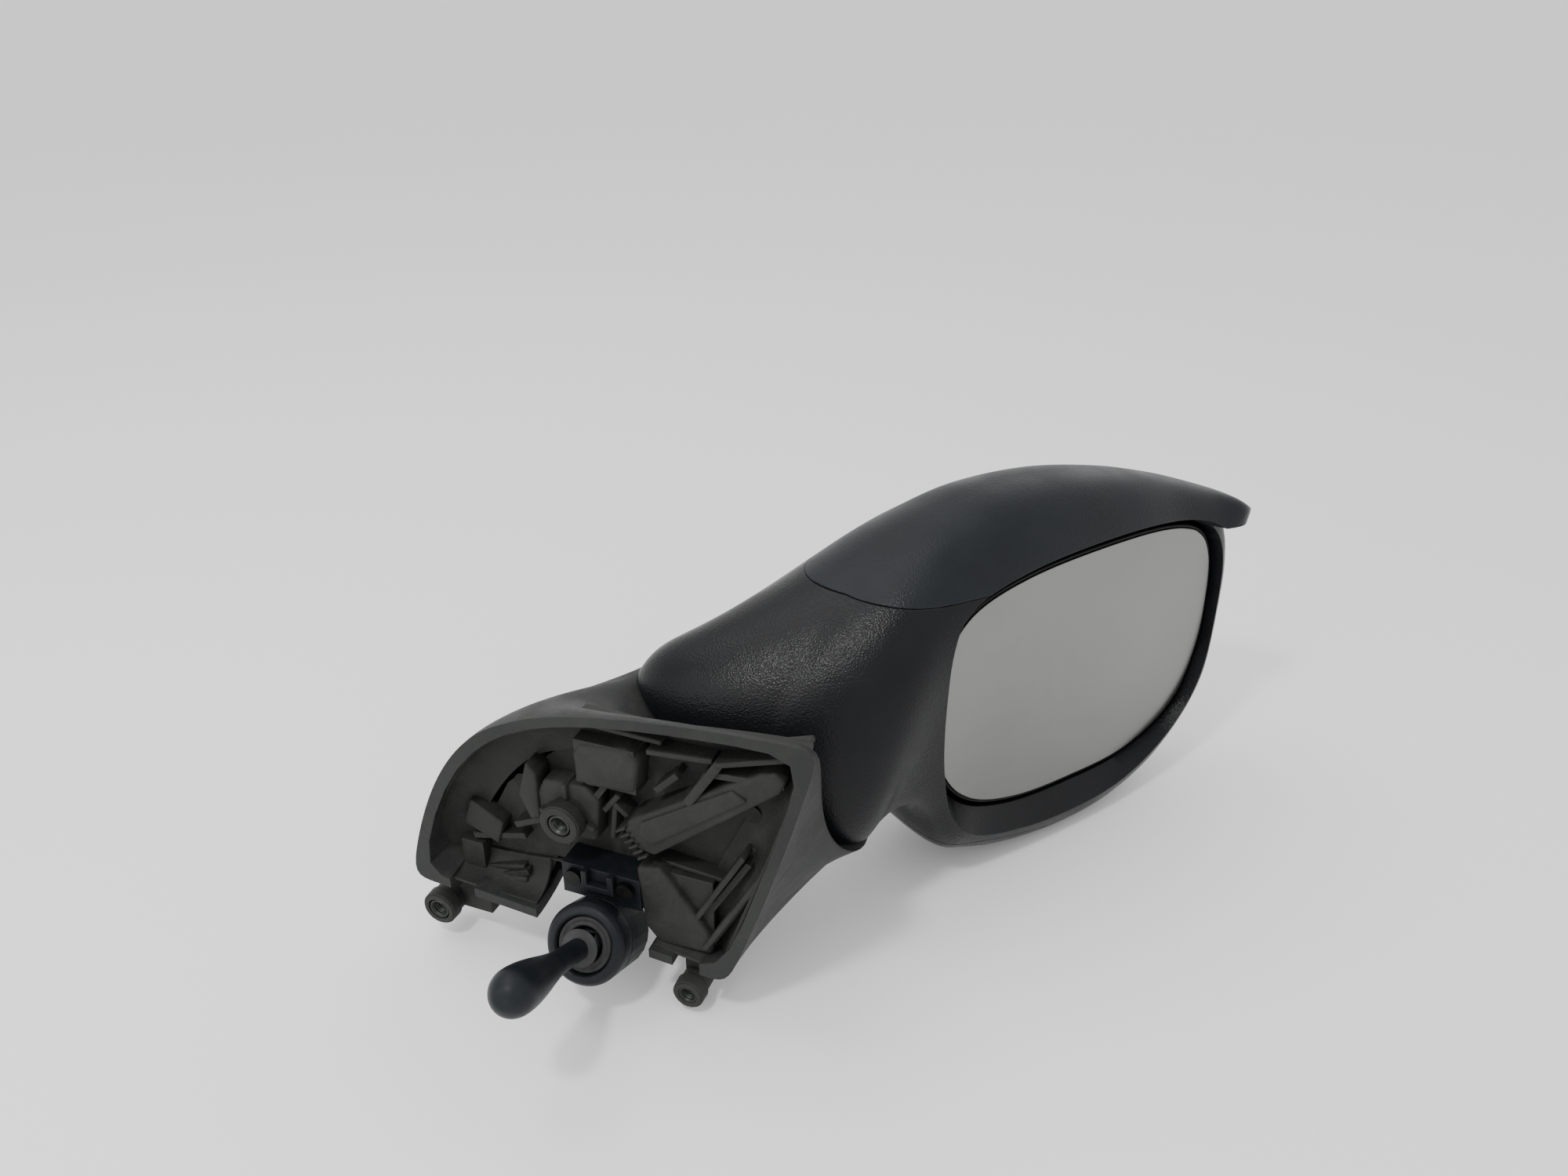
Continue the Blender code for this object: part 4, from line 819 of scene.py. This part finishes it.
# ---------------------------------------------------------------- lever
def make_lever():
    """Grip, collar, seal and boot, all turned about the lever's axis."""
    centre = LEVER_RING - LEVER_AXIS * LEVER_BALL_BEHIND
    knob = LEVER_BALL_BEHIND + (LEVER_KNOB - LEVER_RING).length
    shape = [(0.0, knob + KNOB_RADIUS), (0.35, knob + 0.985 * KNOB_RADIUS), (0.62, knob + 0.82 * KNOB_RADIUS),
             (0.86, knob + 0.52 * KNOB_RADIUS), (0.985, knob + 0.12 * KNOB_RADIUS), (0.985, knob - 4),
             (0.92, knob - 9), (0.82, knob - 14), (0.70, knob - 19), (0.58, knob - 25), (0.515, knob - 30),
             (0.49, LEVER_BALL_RADIUS + 8)]
    grip = [Vector((r * KNOB_RADIUS, h)) for r, h in shape]
    smooth = [tuple(catmull([(*p, 0) for p in grip], k / 6).xy) for k in range(6 * (len(grip) - 1) + 1)]
    smooth = [(max(0.0, r), h) for r, h in smooth]
    tail = -SPIDER_BEHIND - 4
    shoulder = [(STEM_RADIUS + 1.6, LEVER_BALL_RADIUS + 1.4), (STEM_RADIUS + 1.2, LEVER_BALL_RADIUS + 1),
                (STEM_RADIUS, LEVER_BALL_RADIUS + 1), (STEM_RADIUS, tail), (0, tail)]
    lever = turned("adjust_lever_grip", smooth + shoulder, centre, LEVER_AXIS, "lever_plastic", smooth=40)
    stands_for(lever, "lever", "lever_plastic", "adjust_lever")
    inner = COLLAR_RADIUS - 4.5
    lip = [(inner, 7.0), (inner + 0.9, 8.0), (COLLAR_RADIUS - 1.4, 7.4), (COLLAR_RADIUS, 5.4),
           (COLLAR_RADIUS, -1.0), (inner, -1.0)]
    collar = turned("lever_collar_ring", rounded(lip, 0.7), centre, LEVER_AXIS, "lever_plastic")
    stands_for(collar, "base", "lever_plastic", "lever_collar")
    edge = inner - CLEARANCE
    waves = [(STEM_RADIUS + 4.2, 6.2), (STEM_RADIUS + 4.9, 6.6), (STEM_RADIUS + 5.6, 6.1), (edge - 0.8, 6.6),
             (edge, 6.3), (edge, 5.0), (STEM_RADIUS + 4.4, 5.0)]
    seal = turned("lever_seal_gaiter", rounded(waves, 0.3, 3), centre, LEVER_AXIS, "seal_rubber")
    stands_for(seal, "base", "seal_rubber", "lever_seal")
    outside = [(BOOT_RADIUS * math.sin(math.radians(a)), BOOT_RADIUS * math.cos(math.radians(a)))
               for a in BOOT_ANGLES]
    shrink = (BOOT_RADIUS - BOOT_THICKNESS) / BOOT_RADIUS
    inside = [(r * shrink, h * shrink) for r, h in reversed(outside)]
    boot = turned("lever_boot", outside + inside, centre, LEVER_AXIS, "seal_rubber", smooth=40)
    stands_for(boot, "lever", "seal_rubber")


# ---------------------------------------------------------------- bracket, seen from the door side
def yz_prism(name, outline, front, back, finish="bracket_plastic", easing=0.5):
    """Outline in (Y, Z), from X = front to X = back, with eased edges."""
    bm = bmesh.new()
    face = bm.faces.new([bm.verts.new((front, y, z)) for y, z in outline])
    raised = bmesh.ops.extrude_face_region(bm, geom=[face])["geom"]
    moved = [v for v in raised if isinstance(v, bmesh.types.BMVert)]
    bmesh.ops.translate(bm, verts=moved, vec=(back - front, 0, 0))
    return bevel(make_object(name, bm, finish), easing)


def yz_rib(name, start, end, front, thickness=2.0, back=DETAIL_BACK, easing=0.5):
    """Straight rib between two points in (Y, Z)."""
    a, b = Vector(start), Vector(end)
    side = Vector((a.y - b.y, b.x - a.x)).normalized() * thickness / 2
    outline = [tuple(a + side), tuple(a - side), tuple(b - side), tuple(b + side)]
    return yz_prism(name, outline, front, back, easing=easing)


def inset_outline(distance, depth, count=FINE):
    """Ring inside the base outline, moved towards the middle of the base."""
    middle = Vector((66.0, -8.0))
    ring = []
    for angle in around(count):
        point = Vector(base_outline(angle))
        inwards = (middle - point).normalized()
        ring.append(Vector((depth, *(point + inwards * distance))))
    return ring


def make_bowl():
    """Thin tray between the rim of the cover and the bracket's web."""
    rows = 10
    depth, reach, skin = BRACKET_DEPTH - 1.5, 15.0, 1.2
    inner, outer = [], []
    for k in range(rows + 1):
        turn = math.radians(90 * k / rows)
        x = 2.2 + (depth - 2.2) * math.sin(turn)
        inset = RIM_WIDTH + 1.6 + reach * (1 - math.cos(turn))
        inner.append(inset_outline(inset, x))
        outer.append(inset_outline(inset - skin * math.cos(turn), x + skin * math.sin(turn)))
    bowl = loft("bracket_tray", inner + outer[::-1], "bracket_plastic", wrap=True)
    notch = box("tray_notch", LEVER_BAY, (60, 46, 62), "bracket_plastic")
    cut(bowl, notch)
    return stands_for(bowl, "base", "bracket_plastic")


def make_bracket_details():
    """Blocks, ribs and gussets on the bracket's web."""
    details = [
        yz_prism("raised_latch_box",
                 [(50, 10.5), (48.5, 24), (52, 27.5), (70, 26), (73, 21), (71.5, 11.5), (68, 9)],
                 5.0, DETAIL_BACK, easing=2.2),
        yz_prism("centre_boss_block", [(67, -15), (65, 2), (70, 7), (86, 6), (90, -2), (89, -13), (84, -17)],
                 7.0, DETAIL_BACK, easing=1.2),
        yz_prism("wedge_block",
                 [(-3, 30), (1, 32.5), (6, 31), (53, 0), (55, -5), (50, -11.5), (44, -12.5), (-1, 25)],
                 4.5, DETAIL_BACK, easing=1.3),
        yz_prism("wedge_step", [(10, 20), (15, 23), (48, 1), (49, -4), (44, -7)], 3.4, 6.0, easing=0.6),
        yz_prism("angled_casing", [(51, -19), (42, -17), (23, -43), (24, -49), (44, -50), (49, -44)],
                 4.0, DETAIL_BACK, easing=1.4),
        yz_rib("bent_rib_low", (-8, 41), (20, 31.5), 3.0, 2.0),
        yz_rib("bent_rib_mid", (19, 32), (31, 13), 3.5, 3.2),
        yz_rib("bent_rib_branch", (22, 31), (45, 29), 5.0, 2.0),
        yz_rib("channel_side_a", (4, -7), (26, -46), 2.5, 2.0),
        yz_rib("channel_side_b", (12, -4), (34, -43), 4.5, 2.0),
        yz_rib("channel_floor", (8, -6), (30, -45), 11.0, 8.0),
        yz_rib("front_rib_high", (127, -51), (98, -44), 8.0, 4.5, easing=1.4),
        yz_rib("front_rib_low", (122, -45), (100, -39), 10.0, 2.0),
        yz_rib("y_rib_a", (64, -2), (58, 6), 8.0, 2.0),
        yz_rib("y_rib_b", (60, 2), (55, -2), 8.0, 2.0),
        yz_rib("y_rib_c", (60, 2), (62, -14), 9.0, 2.0),
        yz_prism("pocket_frame", [(109, -30), (106, -20), (119, -13), (123, -24)],
                 9.0, DETAIL_BACK, easing=0.8),
        yz_prism("side_ear", [(92, 12), (96, -2), (92, -12), (88, -10), (88, 8)],
                 6.0, DETAIL_BACK, easing=1.0),
        yz_rib("top_rib", (40, 33), (72, 34), 6.0, 1.8),
        yz_rib("low_rib", (20, -20), (44, -18), 9.0, 1.8),
    ]
    for k in range(6):
        y, z = 46.5 + 1.5 * k, -12.6 + 1.9 * k
        details.append(yz_rib(f"serration_{k + 1}", (y, z), (y + 3.4, z - 2.4), 3.6, 0.9, 9.0, easing=0.25))
    for k, (y, z) in enumerate(((70, -8), (77, -14), (84, -6), (77, 3)), 1):
        end = (y + (y - BOSS_CENTRE[0]) * 0.5, z + (z - BOSS_CENTRE[1]) * 0.5)
        details.append(yz_rib(f"boss_gusset_{k}", BOSS_CENTRE, end, 5.0, 1.8))
    for piece in details:
        stands_for(piece, "base", "bracket_plastic")


def make_inserts():
    """Threaded inserts with a chamfered mouth and grooves inside."""
    spots = (BOSS_CENTRE, BOSS_FRONT, BOSS_REAR)
    for k, (y, z) in enumerate(spots, 1):
        outer = INSERT_RADIUS if k < 3 else 3.2
        profile = [(outer - 0.4, 0.2), (outer, 0.6), (outer, INSERT_LENGTH), (INSERT_BORE, INSERT_LENGTH)]
        pitch = 1.0
        for turn in range(10):
            low = INSERT_LENGTH - 0.8 - turn * pitch
            profile += [(INSERT_BORE, low), (INSERT_BORE + 0.45, low - pitch / 2)]
        profile += [(INSERT_BORE, 1.0), (INSERT_BORE + 0.7, 0.2)]
        insert = turned(f"insert_{k}", profile, Vector((0, y, z)), OUTBOARD, "insert_brass", smooth=25)
        stands_for(insert, "base", "insert_brass", f"threaded_insert_{k}")
        radius = BOSS_RADII[k - 1]
        rim = [(outer + 0.5, 0.35), (radius + 0.5, 0.35), (radius + 0.7, 5.0), (radius - 1.0, 5.0),
               (outer + 0.5, 3.0)]
        ring = turned(f"boss_rim_{k}", rounded(rim, 0.4, 3), Vector((0, y, z)), OUTBOARD,
                      "bracket_plastic")
        stands_for(ring, "base", "bracket_plastic")


# ---------------------------------------------------------------- stage
CAMERA_SPOT = Vector((-277.7, -110.5, 258.0))
CAMERA_AZIMUTH = -69.0
CAMERA_ELEVATION = 28.0
CAMERA_LENS = 28.26


def view_frame(azimuth, elevation):
    """Turn of a camera that looks at the object from those angles in degrees."""
    a, e = math.radians(azimuth), math.radians(elevation)
    back = Vector((math.sin(a) * math.cos(e), -math.cos(a) * math.cos(e), math.sin(e)))
    right = Vector((math.cos(a), math.sin(a), 0))
    return Matrix((right, back.cross(right), back)).transposed().to_4x4()


def make_camera():
    data = bpy.data.cameras.new("camera")
    data.lens = CAMERA_LENS
    data.sensor_width = 36.0
    data.clip_start = 0.01
    data.clip_end = 100.0
    camera = bpy.data.objects.new("camera", data)
    bpy.context.scene.collection.objects.link(camera)
    camera.matrix_world = Matrix.Translation(CAMERA_SPOT * MM) @ view_frame(CAMERA_AZIMUTH, CAMERA_ELEVATION)
    bpy.context.scene.camera = camera


def area_light(name, spot, target, size, power):
    """Round lamp at spot, aimed at target; in metres and watts."""
    data = bpy.data.lights.new(name, "AREA")
    data.shape = "DISK"
    data.size = size
    data.energy = power
    light = bpy.data.objects.new(name, data)
    bpy.context.scene.collection.objects.link(light)
    aim = (Vector(spot) - Vector(target)).normalized()
    light.matrix_world = frame_at(Vector(spot), aim, UP)


def make_stage():
    """Pale floor just under the object, white surroundings and three soft lamps."""
    low = CAD_BOX[0][2]
    bm = bmesh.new()
    bmesh.ops.create_grid(bm, x_segments=2, y_segments=2, size=20000.0)
    floor = make_object("floor", bm, "cover_plastic", Matrix.Translation((0, 0, low / MM - 0.5)))
    n = Nodes("pale_floor")
    n.link(n.mix(n.noise(3.0, 2.0), (0.80, 0.80, 0.80), (0.82, 0.82, 0.82)), n.shader.inputs["Base Color"])
    n.shader.inputs["Roughness"].default_value = 0.9
    floor.data.materials.clear()
    floor.data.materials.append(n.material)
    world = bpy.data.worlds.new("studio")
    world.use_nodes = True
    world.node_tree.nodes["Background"].inputs["Color"].default_value = (1.0, 1.0, 1.0, 1.0)
    world.node_tree.nodes["Background"].inputs["Strength"].default_value = 1.3
    bpy.context.scene.world = world
    middle = (0.08, 0.0, 0.0)
    area_light("key", (-0.45, 0.10, 0.80), middle, 0.10, 4.0)
    area_light("fill", (-0.9, 0.5, 0.5), middle, 0.7, 3.0)
    area_light("top", (0.1, 0.5, 1.2), middle, 0.8, 5.0)


make_camera()
make_stage()
finish_frame_nodes()
make_base_cover()
make_head()
make_glass()
make_lever()
make_bowl()
make_bracket_details()
make_inserts()
